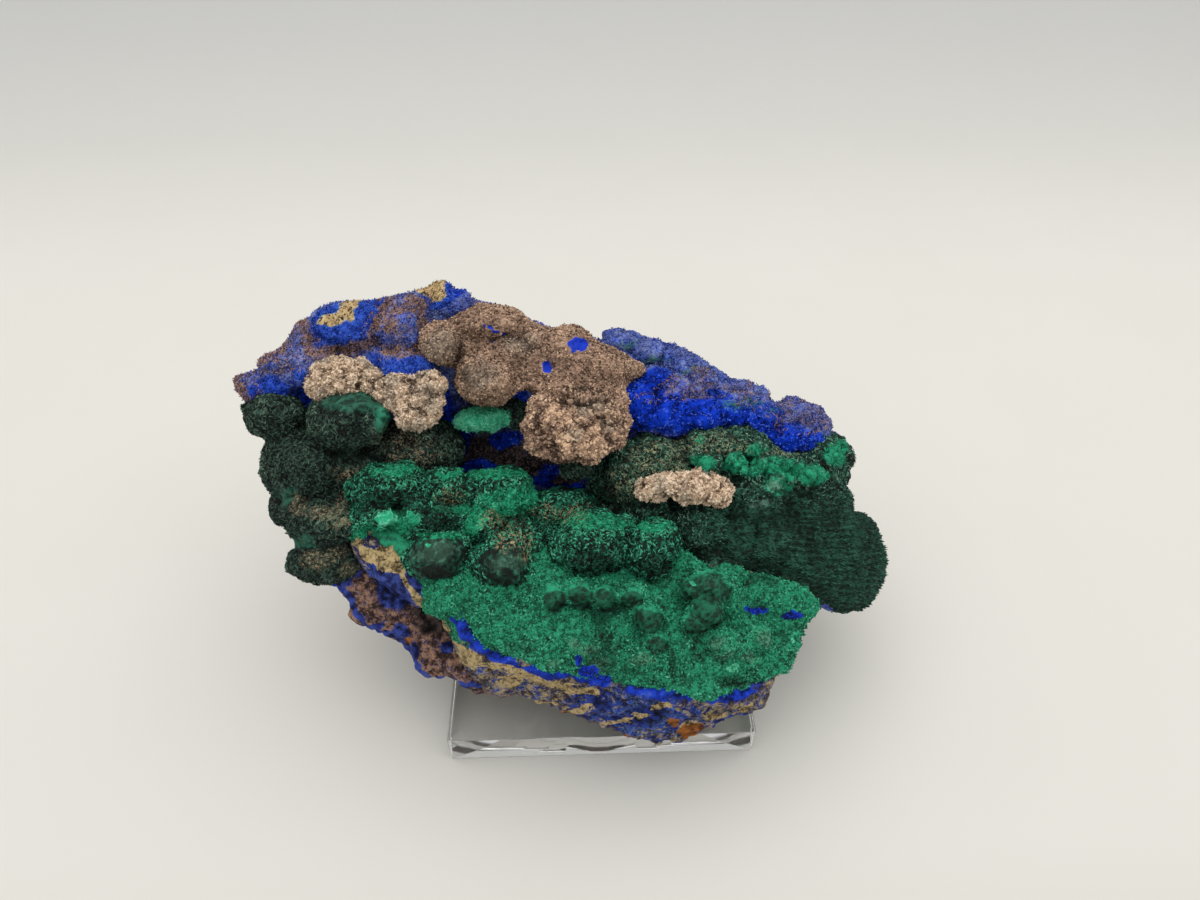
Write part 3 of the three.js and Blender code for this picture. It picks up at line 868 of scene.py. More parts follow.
# %% Malachite on the right
def right_growth(points):
    """Lumps on the upper left, stripes that run across the flap, and a fibrous grain."""
    place = face_place(points)
    flap = np.clip((place[:, 0] - 44) / 16, 0, 1) * np.clip((2 - place[:, 1]) / 8, 0, 1)
    rows = np.sin(2 * np.pi * (place[:, 1] + 0.12 * place[:, 0] + 1.2 * waves(points, 6, 24)) / FLAP_ROWS)
    lumps = (1 - 0.7 * flap) * (1.2 * knobs(points, 4.6, 21) + 0.7 * knobs(points, 2.2, 22))
    band = np.clip(3 * patches(place, RIGHT_BRIGHT) + 0.5, 0, 1)
    lumps = lumps + band * (1.5 * knobs(points, 1.9, 26) - 0.6)
    swell = lumps + 0.8 * rough(points, 9, 2, 20) + 0.2 * flap * rows - 0.9
    return swell, 0.65 * worms(points, 1.2, 23) + 0.35 * (0.5 + 0.5 * waves(points, 0.7, 25))


def combed(place):
    """Over the lower right the fibres lie in rows, as the stripes do."""
    rows = np.clip((place[:, 0] - 30) / 12, 0, 1) * np.clip((4 - place[:, 1]) / 8, 0, 1)
    return COMB_PULL * rows, -0.3 * rows


def right_paint(place, normals):
    """The right growth's marks, with painted shade in its creases. It is calm where its fibres are combed."""
    return green_marks(
        place,
        calm=combed(place)[0] / COMB_PULL,
        bright=patches(place, RIGHT_BRIGHT),
        pale=patches(place, RIGHT_PALE) - 0.2,
        tan=patches(place, RIGHT_SPECKS),
        dark=patches(place, RIGHT_CREASE_SHADE),
    )


def right_velvet(place, normals):
    """Everywhere but on the sides, where they turn under."""
    return place[:, 2] > -12


right_forms = [pebble(RIGHT_BASE, RIGHT_BASE_FRONT, RIGHT_BASE_BACK), *lobes(RIGHT_LOBES + RIGHT_KNOBS)]
malachite_right = grown("malachite_right", right_forms, 0.75, right_growth, right_paint)
right_fibres = crystals(
    "right_fibres", malachite_right, 22000, (0.55, 0.16, 0.7), right_velvet, right_paint,
    seed=103, tones=(0, 1.1), comb=combed,
)

# %% [markdown]
# ## The shelf
#
# The shelf is a thick tongue that juts from the foot of the wall. It broke off along its front, so its
# section shows: a blue rim and a thin tan line under the green, and mixed blue and tan matrix below. The
# matrix is one form. The green carpet on top of it stops short of the broken edge, and reaches the edge on
# the right, where nothing broke.

# %% Shelf forms
BROW = [
    (-49.5, 0), (-44.5, 5), (-26, 7.5), (-4.5, 3.5), (14, -3), (33, -14), (49.5, -18.5), (59.5, -25.5),
    (57, -30), (55, -35.5), (51.5, -40.5), (47.5, -44.5), (42.5, -47), (35, -47.5), (28.5, -46),
    (19, -44.5), (7.5, -42.5), (-2, -39), (-11.5, -35.5), (-18, -34), (-23, -29.5), (-26, -25),
    (-30, -20.5), (-36, -18.5), (-42, -15), (-47, -9),
]
LIP = [
    (-50, -1.5), (-45, 6), (-26, 8.5), (-4.5, 4.5), (14.5, -2), (33, -12.5), (50, -17), (60, -25.5),
    (57.5, -30), (56, -35.5), (52.5, -41), (48.5, -45.5), (44.5, -50.5), (35.5, -52), (30.5, -55),
    (19.5, -56.5), (6.5, -51.5), (-2.5, -47.5), (-11.5, -44), (-20, -41), (-25, -35.5), (-28, -26.5),
    (-31, -22.5), (-37, -20), (-43, -16.5), (-48, -10.5),
]
SHELF_TOP = [
    (-44, 0, 4), (-26, 4, 2), (-4, 0, 0), (14, -7, 2), (33, -18, 6), (52, -24, 4), (-40, -10, 8),
    (-26, -16, 11), (-8, -20, 11), (10, -24, 11), (30, -28, 11), (48, -34, 8), (-24, -24, 12),
    (-10, -32, 15), (8, -39, 16), (26, -42, 15), (42, -43, 12), (-34, -17, 9),
]
SHELF_BACK = [
    (-40, -4, -10), (-20, 0, -14), (10, -6, -14), (40, -16, -12), (52, -28, -6), (-28, -16, -8),
    (-8, -18, -14), (9, -28.4, -3), (9, -20, -9.5), (30, -22, -9), (-10, -30, -2), (30, -36, 1),
    (10, -42, 2), (44, -42, 0),
]
LIP_FRONT_W, LIP_BACK_W = 2, -4
TOP_SPREAD = np.linspace(0.05, 1, 24)  # how far out from the middle each ring of the top lies


def whole_edge(brow):
    """Where the brow never broke, from 0 to 1: along its right end and its back."""
    u, v = brow.T
    return np.clip((u - np.where(v > -25, 14, 32)) / 12, 0, 1) * np.clip((v + 45) / 6, 0, 1)


def shelf(around=300):
    """The shelf: rings out over the top to the brow, rings down the broken face to the lip, and rings back
    under. It is drawn in a little where its edge is whole, because the green layer wraps it there."""
    brow, lip = smooth_ring(BROW, around), smooth_ring(LIP, around)
    centre = brow.mean(axis=0)
    draw = 1 - 0.05 * whole_edge(brow)[:, None]
    brow, lip = centre + (brow - centre) * draw, centre + (lip - centre) * draw

    def ring(edge, spread, spots):
        u, v = (centre[k] + (edge[:, k] - centre[k]) * spread for k in (0, 1))
        return np.stack([u, v, height_at(spots, u, v)], axis=1)

    top = [ring(brow, spread, SHELF_TOP) for spread in TOP_SPREAD]
    front = np.clip((centre[1] - lip[:, 1] + 10) / 16, 0, 1)
    lip_w = LIP_BACK_W + (LIP_FRONT_W - LIP_BACK_W) * front * front * (3 - 2 * front)
    low = np.column_stack([lip, lip_w])
    face = [top[-1] + (low - top[-1]) * t for t in np.linspace(0, 1, 12)[1:]]
    under = [ring(lip, spread, SHELF_BACK) for spread in (0.85, 0.6, 0.3)]
    return closed(pole(centre, SHELF_TOP), np.array([*top, *face, *under]), pole(centre, SHELF_BACK))


def carpet(inset=0.955, lift=1.4, sink=2.5, around=300):
    """The green layer: the shelf's top drawn in to an inset outline, lifted a little, and closed
    underneath. On the right, from 30 to 45 across, it comes out over the shelf's own edge. At the far left
    it leaves the brow bare."""
    brow = smooth_ring(BROW, around)
    centre = brow.mean(axis=0)
    u, v = brow.T
    whole = whole_edge(brow)
    bare = np.clip((-33 - u) / 6, 0, 1) * np.clip((-1 - v) / 3, 0, 1) * np.clip((v + 20) / 6, 0.3, 1)
    reach = inset + (1.025 - inset) * whole - 0.15 * bare
    spread = np.concatenate([TOP_SPREAD, np.linspace(1, 0.3, 8)[1:]])[:, None] * reach
    u, v = (centre[k] + (brow[:, k] - centre[k]) * spread for k in (0, 1))
    w = height_at(SHELF_TOP, u, v)
    w[: len(TOP_SPREAD)] += lift * (1 - (1 - whole) * TOP_SPREAD[:, None] ** 12)
    w[len(TOP_SPREAD) :] -= sink * (1 + whole)
    place = np.stack([u, v, w], axis=-1)
    return closed(pole(centre, SHELF_TOP, lift), place, pole(centre, SHELF_TOP, -sink))


# %% Places of colour on the broken face
TAN_LINE = [
    (-38, -13.5), (-37, -17), (-35.5, -19), (-33.5, -21), (-31.5, -22.5), (-28.5, -25.5), (-27, -28),
    (-25.5, -30.5), (-24.5, -32), (-20, -35), (-16, -36.5), (-11.5, -38), (-5.5, -40.5), (1.5, -42.5),
]
BROW_OCHRE = [
    (-48, -3.5), (-46, -5.5), (-44, -6.5), (-42, -6), (-40.5, -4), (-38, -6.5), (-36.5, -10), (-36.5, -13),
    (-38, -14.5), (-41.5, -13), (-44.5, -11.5), (-48, -9),
]
BROW_PITS = [(-39.5, -11, 1.6, 1.2), (-41.5, -9, 1, 0.8), (-38, -13, 1.5, 0.6)]
BROW_TAN = [
    (-24, -34, 3.5, 2.2), (4, -43.5, 4, 1.2), (-12.5, -39.5, 4, 1), (28, -53, 3, 2), (34.5, -50.5, 2.5, 1),
    (41.5, -49, 2, 1.2), (16.5, -49.5, 2.5, 0.6), (11.5, -50.5, 4, 0.6), (-7, -44.5, 5, 0.6),
    (1, -47.5, 5, 1), (-2, -41.5, 4, 0.6), (22, -48, 3, 0.6),
]
BROW_ORANGE = [
    (28, -53.5, 3, 1.5), (24, -51.5, 1.5, 1.2), (10, -53.5, 5.5, 1), (-3.5, -48, 5.5, 1),
    (-38, -28.5, 1.2, 1.2),
]
BROKEN_BLUE = [(18, -49.5, 6.5, 3), (7, -46.5, 4, 2), (39, -52.5, 3, 1.2), (-40, -15, 5, 5)]


# %% Shelf matrix, with its broken face
def broken_growth(points):
    """A hackly break: sharp waves of several sizes."""
    swell = 0.8 * rough(points, 6, 2, 31) + 0.9 * np.abs(rough(points, 3, 2, 32)) - 0.4
    return swell, np.clip(0.5 + 0.6 * rough(points, 1.2, 2, 33), 0, 1)


def broken_paint(place, normals):
    """What the broken material reads. The blue rim runs along the brow wherever the brow broke."""
    across, up = place[:, 0], place[:, 1]
    top = height_at(SHELF_TOP, across, up)
    broke = (across < 46) & ((up < -36) | (across < -12)) & ((across > -38) | (up < -12))
    tan = [patches(place, BROW_TAN), seam(place, TAN_LINE, 0.8), field(place, BROW_OCHRE)]
    return {
        "ochre": np.max(tan, axis=0),
        "orange": patches(place, BROW_ORANGE),
        "inner": patches(place, BROKEN_BLUE + BROW_PITS),
        "vivid": np.where(broke, np.clip((place[:, 2] - top + 1.7 - 0.6 * (across > 8)) / 2.5, FAR, 1), FAR),
        "dust": 0.15 + 0.75 * np.clip((-30 - across) / 6, 0, 1),
        "hidden": turned_away(normals),
    }


def break_shows(place, normals):
    """The broken face and the blue rim above it, all the way along the front."""
    centre = np.mean(BROW, axis=0)
    out = np.linalg.norm((place[:, :2] - centre) / (55, 26), axis=1)
    return (out > 0.72) & (place[:, 2] > -6) & (place[:, 1] < -1) & (normals @ OUT > -0.5)


shelf_matrix = grown(
    "shelf_matrix", [shelf()], 0.8, broken_growth, broken_paint, break_shows, soften=1, unrest=0.6, depth=0.5
)

# %% The carpet's form and colours
CARPET_SWELLS = [
    (35, -23, 5, 8.5, 7, 8), (26, -36, 5, 13, 9, 9.5), (6, -32, 5, 15, 9, 9.5), (-14.5, -25, 5, 13.5, 8, 9),
    (40.5, -37, 4, 10, 7.5, 9.5), (52, -25, 0, 7, 5, 7), (-26, -20, 6, 8, 5, 7),
]
SHELF_BALLS = [
    (-2.5, -20.5, 13, 2.6, 2.9, 3.4), (3.5, -20, 14, 3.5, 3.1, 4), (9.5, -21.5, 14, 3.1, 3.1, 4),
    (16.5, -21.5, 13.5, 3.1, 2.6, 3.6), (19.5, -26.5, 14.5, 3.3, 3.2, 3.8), (21, -32.5, 14.5, 3, 2.5, 3),
    (34, -20.5, 11, 6, 4.5, 5), (34, -26, 14, 3.8, 3.2, 4), (31, -29, 13.5, 2.8, 2.6, 3.2),
    (17, -36.5, 14.5, 4, 3, 2.8), (6, -34, 14.8, 4.2, 2.8, 2.6), (37, -34, 13.2, 3.6, 3, 2.8),
    (47, -34, 9.5, 3, 3.4, 3),
]
# Painted shade in clefts and under a ball.
CARPET_SHADE = [(21, -33.5, 2.5, 2), (30, -33.5, 1, 2.5), (24.5, -38, 1, 5), (40, -43, 6, 1)]
ROW_BALLS = [(u, v, 0.95 * across, 0.95 * up) for u, v, _, across, up, _ in SHELF_BALLS[:9]]
ROW_SHADES = [(u, v - 0.8, 1.2 * across, up) for u, v, across, up in ROW_BALLS]
# Pale green, partly painted highlights on the tops of balls.
CARPET_PALE_AND_HIGHLIGHTS = [
    (5.5, -33.5, 4.5, 2.5), (7.5, -37, 4.5, 2.5), (17, -36.5, 5, 2.5), (36, -33, 4, 2.5),
    (37.5, -36.5, 4.5, 2.5), (-3.5, -36.5, 3, 2), (2, -32, 3.5, 2), (47.5, -33.5, 3, 3.5),
    (43.5, -38, 3, 2), (35, -19.5, 3, 1.5),
]
CARPET_MINT = [(40, -40.5, 1.8, 1.3), (45.5, -30.5, 0.6, 0.5), (53.5, -34.5, 0.7, 0.6), (31, -18.5, 0.6, 0.5)]
CARPET_BLUE = [
    (46, -26.5, 2.8, 0.9), (54, -27.5, 3.2, 1.2), (2.5, -36, 1.2, 1.6), (4.5, -38.5, 2.5, 1.4),
    (7.5, -40.5, 2.5, 1.4),
]


# %% Green carpet on the shelf
def carpet_growth(points):
    """Faint swells under a fine grain."""
    swell = 0.9 * rough(points, 6, 2, 41) + 0.5 * knobs(points, 2.6, 42) - 0.3
    return swell, 0.5 * worms(points, 1.0, 43) + 0.5 * (0.5 + 0.5 * waves(points, 0.7, 44))


def carpet_paint(place, normals):
    """The carpet's marks, with an even bright all over, and painted shade in clefts and under the row of
    balls.
    """
    return green_marks(
        place,
        bright=np.full(len(place), 0.25),
        mint=patches(place, CARPET_MINT),
        pale=patches(place, CARPET_PALE_AND_HIGHLIGHTS) - 0.25,
        dark=np.maximum(patches(place, CARPET_SHADE), 3 * patches(place, ROW_SHADES)),
        blue=patches(place, CARPET_BLUE),
    )


def carpet_shows(place, normals):
    """The carpet's top, in front of the balls at its back."""
    return facing(place, normals) & (place[:, 1] < 2) & (place[:, 2] > -1)


def carpet_velvet(place, normals):
    """The front of the top, but not the row of smooth balls, dark green and painted darker still as shade."""
    return (place[:, 1] < -10) & (place[:, 2] > 2) & (patches(place, ROW_BALLS) < 0)


carpet_forms = [carpet(), *lobes(CARPET_SWELLS + SHELF_BALLS)]
malachite_carpet = grown(
    "malachite_carpet", carpet_forms, 0.78, carpet_growth, carpet_paint, carpet_shows,
    soften=2, unrest=0.7, depth=0.3,
)
carpet_grains = crystals(
    "carpet_grains", malachite_carpet, 20000, (0.42, 0.2, 1.0), carpet_velvet, carpet_paint,
    seed=104, tones=(-0.1, 1.2),
)

# %% The back balls' forms and colours
BACK_LOBES = [
    (-40.5, 7, 1, 10, 6.5, 9), (-27, 6.5, 3, 5.5, 4.5, 7), (-15, 4, 1, 9.5, 7, 10),
    (-34, 3.5, 3, 3.5, 2.5, 6), (-31, -0.5, 3, 9, 5, 9), (-20, -2.5, 2, 6, 5.5, 9),
    (-45, 0.8, 3, 5.5, 3, 7), (0.5, 0.5, -3, 8, 4.5, 8), (7, -9.5, 4, 10, 8.5, 11),
    (21.5, -11, 3, 7, 7.5, 10.5), (-9, -7, 0, 7, 6, 9), (-22, -12, 2, 12, 8, 8), (14, -5, 2, 4, 3, 8),
    (-47.5, -1.8, 2, 3.2, 3.2, 6),
]
BACK_BALLS = [(-29.5, -9.5, 9, 8, 6.3, 9), (-14, -12, 9, 7, 6.3, 9), (-41, 0, 9.5, 2.6, 2.1, 3)]
BACK_BALLS_OVALS = [(u, v, across, up) for u, v, _, across, up, _ in BACK_BALLS]
# Painted highlights along the balls' rims.
BACK_RIM_HIGHLIGHTS = [
    (-37.5, 11.5, 7, 1), (-25.5, 10, 4.5, 1), (-14, 9.5, 8, 1.5), (-7, 5, 2.5, 2.5), (-25.5, 2, 7, 1),
    (-20.5, -1, 3, 4), (8, -2.5, 8, 1.5), (22.5, -5, 6, 1.5), (14, -4, 3, 1), (-28.5, -4, 7, 1),
    (-38, -1, 5, 3), (-46, -6, 3, 5), (-12, 3, 6, 3.5),
]
# Painted shade in the clefts between the balls and under the two round ones.
BACK_SHADE = [
    (-29.5, -14, 8, 2.5), (-14, -17, 7, 2.5), (-40.5, 4.5, 10, 3.5), (7, -13, 10, 4.5),
    (22, -14.5, 6.5, 3.5), (-29, -1, 5, 2.5), (-27, 4, 4, 2.5), (-31, 1.5, 7.5, 1.2), (-43, 2.5, 4, 1),
]
BACK_SPECKS = [
    (-15, -1.5, 4, 2.5), (-11.5, -5.5, 5, 4), (-8.5, -8, 3, 3.5), (-26, 5, 4, 2.5), (0.5, -0.5, 7, 2.5),
]
# Painted highlights on the tops of the two round balls.
BACK_BALL_HIGHLIGHTS = [(-29.5, -8, 6.5, 3), (-13.5, -12, 5.5, 2.5)]
BACK_MINT = [(-41, 0.3, 2.4, 1.9), (-31.5, -6.5, 0.7, 0.6)]


# %% Green balls at the back of the shelf
def back_growth(points):
    """Bold knobs at the very back and faint ones on the two round balls, under a fibrous grain."""
    place = face_place(points)
    smooth = np.clip(patches(place, BACK_BALLS_OVALS) * 3, 0, 1)
    swell = (1 - 0.85 * smooth) * (1.1 * knobs(points, 3.2, 45) + 0.5 * rough(points, 5, 2, 46)) - 0.5
    grain = 0.7 * worms(points, 1.3, 47) + 0.3 * (0.5 + 0.5 * waves(points, 0.8, 48))
    return swell, grain * (1 - 0.35 * smooth)


def back_paint(place, normals):
    """The back balls' marks: painted highlights on rims and round tops, painted shade in clefts and under
    balls.
    """
    return green_marks(
        place,
        bright=patches(place, BACK_RIM_HIGHLIGHTS),
        mint=patches(place, BACK_MINT),
        pale=patches(place, BACK_BALL_HIGHLIGHTS),
        tan=patches(place, BACK_SPECKS),
        dark=patches(place, BACK_SHADE),
    )


def back_shows(place, normals):
    """The part of the balls that stands out of the shelf."""
    return facing(place, normals) & (place[:, 2] > 2)


def back_velvet(place, normals):
    """What stands out of the shelf, but not the two round balls and the pale nub."""
    return (patches(place, BACK_BALLS_OVALS) < 0.1) & (place[:, 2] > 1)


back_forms = lobes(BACK_LOBES + BACK_BALLS)
malachite_balls = grown("malachite_balls", back_forms, 0.72, back_growth, back_paint, back_shows, depth=0.45)
ball_fibres = crystals(
    "ball_fibres", malachite_balls, 17000, (0.6, 0.19, 0.8), back_velvet, back_paint,
    seed=105, tones=(0, 1.2),
)

# %% [markdown]
# ## The plate under the shelf
#
# Under the shelf's left end a thin plate of brown matrix bends away, with blue along its rim and a hollow
# above that is painted near black, as shade.

# %% Underplate
UNDERPLATE = [
    (-53.5, -13.5), (-50.5, -18), (-49.5, -21.5), (-46, -25), (-39, -28.5), (-37, -32.5), (-34.5, -36.5),
    (-28, -38.5), (-20, -41), (-12, -40), (-12, -32), (-22, -22), (-34, -14), (-43, -9), (-50, -9),
]
UNDERPLATE_FRONT = [
    (-50, -15, -3), (-46, -22, -2), (-38, -27, -1), (-31, -35, 1), (-20, -38, 1), (-40, -19, -2),
    (-30, -26, -8), (-20, -32, -5), (-41, -15, 1),
]
UNDERPLATE_BACK = [(-50, -15, -10), (-34, -28, -12), (-20, -36, -8), (-30, -16, -13)]
UNDER_BLUE = [
    (-51.5, -12, 5, 3.5), (-40, -17.5, 4.5, 5), (-45, -24.5, 3, 0.8), (-39, -26.5, 2.5, 1.5),
    (-36.5, -32, 1.5, 3.5), (-28, -31, 2, 1.5),
]
# The hollow over the plate, painted near black as shade.
UNDER_HOLLOW_SHADE = [(-30.5, -25.5, 5.5, 4), (-34, -22, 4, 2.5)]


def underplate_paint(place, normals):
    """What the broken material reads on the plate: blue on its outer rim, painted hollow shade, dull dust."""
    rim = seam(place, UNDERPLATE[:9], 0.9)
    return {
        "ochre": np.full(len(place), FAR),
        "orange": patches(place, BROW_ORANGE),
        "inner": patches(place, UNDER_HOLLOW_SHADE),
        "vivid": np.maximum(patches(place, UNDER_BLUE), rim),
        "dust": np.full(len(place), 0.8),
        "hidden": turned_away(normals),
    }


plate_forms = [pebble(UNDERPLATE, UNDERPLATE_FRONT, UNDERPLATE_BACK)]
underplate = grown("underplate", plate_forms, 0.8, broken_growth, underplate_paint, soften=1, depth=0.5)

# %% [markdown]
# ## The pale crust
#
# A beige crust of tiny crystals lies over the upper middle like spilt sugar. Its low end hangs over the
# hollow, so it is a form of its own, with a free edge underneath. Smaller crusts of the same kind sit on
# the blue and on the green.

# %% Crust forms
CRUST = [
    (-31.5, 41.5), (-30.5, 44.5), (-27.5, 46), (-23.5, 47), (-20.5, 48.5), (-17.5, 50.5), (-13, 50),
    (-9, 48.5), (-3.5, 45), (0.5, 43.5), (5, 44), (9, 42), (12, 39), (16, 37.5), (19, 35), (22, 33),
    (19, 31), (17.5, 28.5), (16.5, 25.5), (15.5, 22), (16, 19), (14.5, 16), (12, 14), (9, 13), (4.5, 12.5),
    (0, 13), (-3, 14), (-4.5, 16), (-6.5, 17), (-6, 19), (-5, 21), (-5, 23), (-5.5, 25), (-3, 26.5),
    (-3.5, 28.5), (-6, 30), (-10.5, 29), (-12.5, 27), (-16, 26.5), (-19.5, 27.5), (-22, 29.5), (-23.5, 32),
    (-23.5, 35.5), (-26.5, 36.5), (-30, 37.5),
]
CRUST_FRONT = [
    (-27, 42, 9), (-16.5, 43, 9), (-17, 32.5, 12), (-11, 47, 5), (-0.5, 40, 7), (-0.5, 32.5, 9),
    (11.5, 34, 8), (20, 33.5, 5), (5.5, 26.5, 12), (5, 19, 15), (11.5, 16, 12), (-2.5, 17, 12),
    (-24.5, 31.5, 6), (-8, 29.5, 8), (-22, 38.5, 1), (-22.5, 43.5, 4),
]
CRUST_BACK = [
    (-27, 42, -6), (-16.5, 43, -8), (-0.5, 40, -8), (11.5, 34, -8), (5, 21.5, 4), (5, 14, 5), (-17, 30, -4),
]
CRUST_BUMPS = [
    (-27, 41.5, 6.5, 4.6, 4.9, 5.5), (-16.3, 32.8, 7.5, 6.8, 5.8, 7), (-14, 45.5, 5, 6.5, 3.6, 5),
    (-10, 38.5, 5, 4.5, 3.2, 5), (-4, 41.5, 4, 4, 3, 4.5), (2, 38, 5, 4, 3.2, 4.5),
    (11.5, 34.5, 5, 4.5, 3.2, 4.5), (6.5, 34.5, 4.5, 3, 2.6, 4.5), (16.5, 33.5, 3.5, 3, 2.4, 4),
    (2.5, 29, 9, 4, 2.5, 4), (8.5, 26.5, 10, 5, 3, 4.5), (0, 21.5, 11.5, 4.2, 3.2, 4.5),
    (12, 22.5, 10, 4, 3.2, 5), (6.5, 20.5, 12.5, 3.6, 3, 4), (3.5, 16, 12, 4.2, 3, 4),
    (10.5, 16.5, 11, 3.8, 3, 4), (-4.5, 17, 11, 2.6, 2.6, 3.4), (14, 17, 10, 2.6, 2.6, 3.4),
    (-3.5, 24.5, 10, 3, 2.2, 3), (-6, 20.5, 10.5, 2, 2, 3), (16, 20.5, 9, 2, 2.2, 3.5),
    (16, 25.5, 8, 2, 2, 3.5), (8, 13.2, 10.5, 2.6, 2, 3), (1, 13.5, 10.5, 2.6, 2, 3),
]
SMALL_CRUSTS = [
    (-51.5, 34, 6, 6.8, 4.6, 4.5), (-55, 33.5, 5.5, 3.5, 3.6, 4), (-47.5, 35, 6.5, 4, 3.5, 4),
    (-43.5, 33.5, 6.5, 3, 2.6, 3.5), (-40.5, 32.5, 7, 3.5, 2.4, 3.5), (-37, 30.5, 7.5, 5.2, 4.2, 4.5),
    (-32.5, 28, 8, 6, 5.6, 5.5), (-29.5, 31, 7.5, 3.5, 3, 4.5), (-33.5, 24.5, 8, 4.5, 3, 4),
]
CLUMP = [
    (23, 3.5, 8, 4, 2.3, 3.5), (26.5, 4.5, 8.5, 2.6, 2.2, 3.5), (34, 4, 9.5, 6, 3.1, 4),
    (39, 3, 10, 3, 2.7, 3.5), (31.5, 2.5, 9.5, 4.5, 2.2, 3.5), (20.5, 4.5, 7, 1.7, 1.3, 3),
]

# %% Places of colour on the crusts
WINDOWS = [
    (-14.5, 45.5, 1.1, 0.5), (-13, 44.7, 1.1, 0.5), (-11.3, 43.4, 1.2, 0.5), (-14, 41.5, 0.5, 0.6),
    (-16.5, 45, 0.4, 0.6), (-16, 44, 0.4, 0.4), (-1, 35, 1.3, 1.7), (6.5, 39.6, 2.1, 1.6),
    (8, 40.2, 1.3, 1),
]
CRUST_GREY = [
    (-26.5, 41, 5, 5), (-17, 33.5, 6, 4.5), (8.5, 24.5, 5, 3), (-7.5, 40.5, 6.5, 3), (4.5, 18.5, 3, 2.5),
    (13, 20, 3, 2.5),
]
CRUST_SHADE = [(-22.5, 39.5, 1.8, 4), (-21, 33, 1.5, 4)]
CRUST_COARSE = [(5, 20, 12.5, 9.5), (2, 14.5, 11, 4)]


# %% Crusts
def crust_growth(points):
    """Sugary: fine knobs, and coarser ones towards the low end. The windows are sunk."""
    place = face_place(points)
    coarse = np.clip(patches(place, CRUST_COARSE) + 0.4, 0, 1)
    window = np.clip(patches(place, WINDOWS) * 3, 0, 1)
    lumps = 0.6 * (1 - coarse) * knobs(points, 3.4, 55) + coarse * (1.3 * knobs(points, 2.6, 53) - 0.3)
    swell = 0.5 * rough(points, 5, 2, 52) + lumps - 0.2 - 0.8 * window
    return swell, 0.5 * knobs(points, 1.3, 51) + 0.25 + 0.25 * waves(points, 0.8, 54)


def crust_paint(place, normals):
    """What the crust material reads. The windows are gaps in the crust, where the blue shows."""
    return {
        "window": patches(place, WINDOWS),
        "grey": patches(place, CRUST_GREY),
        "shade": patches(place, CRUST_SHADE),
        "coarse": patches(place, CRUST_COARSE),
    }


def small_crust_growth(points):
    """Coarse knobs with finer ones on them."""
    grain = 0.6 * knobs(points, 1.2, 62) + 0.2 + 0.2 * waves(points, 0.8, 63)
    return 1.2 * knobs(points, 2.3, 61) - 0.5, grain


def small_crust_paint(place, normals):
    """The small crusts are coarse all over, and grey here and there."""
    none = np.full(len(place), FAR)
    return {"window": none, "grey": rough(place, 3, 1, 64), "shade": none, "coarse": np.ones(len(place))}


crust_forms = [pebble(CRUST, CRUST_FRONT, CRUST_BACK, edge=0.3), *lobes(CRUST_BUMPS)]
crust = grown("pale_crust", crust_forms, 0.7, crust_growth, crust_paint, soften=3, unrest=0.6, depth=0.45)
small_crusts = grown(
    "small_crusts", lobes(SMALL_CRUSTS + CLUMP), 0.6, small_crust_growth, small_crust_paint,
    soften=2, depth=0.6,
)


# %% Sugar on the crusts
def round_windows(place, normals):
    """Everywhere but in the windows and on their rims."""
    return patches(place, WINDOWS) < -0.1


def low_end(place, normals):
    """Where the crust is coarse."""
    return patches(place, CRUST_COARSE) > 0


def above_wall(place, normals):
    """What stands out of the wall."""
    return place[:, 2] > 2


crust_sugar = crystals(
    "crust_sugar", crust, 13000, (0.34, 0.26, 1.5), round_windows, crust_paint,
    seed=106, tones=(-0.3, 1.3),
)
low_sugar = crystals(
    "low_sugar", crust, 2600, (0.62, 0.42, 2.0), low_end, crust_paint,
    seed=107, tones=(-0.4, 1.3),
)
small_sugar = crystals(
    "small_sugar", small_crusts, 7000, (0.6, 0.36, 2.0), above_wall, small_crust_paint,
    seed=108, tones=(-0.5, 1.2),
)

# %% [markdown]
# ## The clear stand
#
# The stand is a block of cast acrylic with three polished pegs bonded to its top. A bond leaves no air
# inside, so light goes from block to peg unbroken. Separate pieces of glass that touch would show a false
# mirror between them, so the block and the pegs are made one closed surface here, from the sizes that the
# frame gives.

# %% Block and pegs
PEG_NODES = ["peg_front", "peg_back_left", "peg_back_right"]
EDGE = 0.35  # polished edge, millimetres
PEG_SUNK = 2  # how far each peg runs down inside the block, so that they join well
SHARP_ANGLE = math.radians(25)


def rounded_block(low, high, edge, corner_steps=5):
    """A block with softened edges: rounded rectangles stacked up, drawn in at foot and top by a quarter
    round."""
    turn = np.linspace(0, np.pi / 2, corner_steps)
    corners = [(1, 1), (-1, 1), (-1, -1), (1, -1)]
    ring = np.concatenate(
        [
            np.stack([np.cos(turn + k * np.pi / 2), np.sin(turn + k * np.pi / 2)], axis=1) * edge
            + np.array(corner) * ((high[:2] - low[:2]) / 2 - edge)
            for k, corner in enumerate(corners)
        ]
    )
    centre = (low[:2] + high[:2]) / 2
    draw = edge * (1 - np.sin(turn))
    rise = edge * (1 - np.cos(turn))
    levels = [(d, low[2] + r) for d, r in zip(draw, rise)]
    levels += [(d, high[2] - r) for d, r in zip(draw[::-1], rise[::-1])]
    half = (high[:2] - low[:2]) / 2
    flat = [(centre + ring * (half - d) / half, z) for d, z in levels]
    rings = np.array([np.column_stack([spots, np.full(len(ring), z)]) for spots, z in flat])
    return outward(skin(np.array([*centre, low[2]]), rings, np.array([*centre, high[2]])))


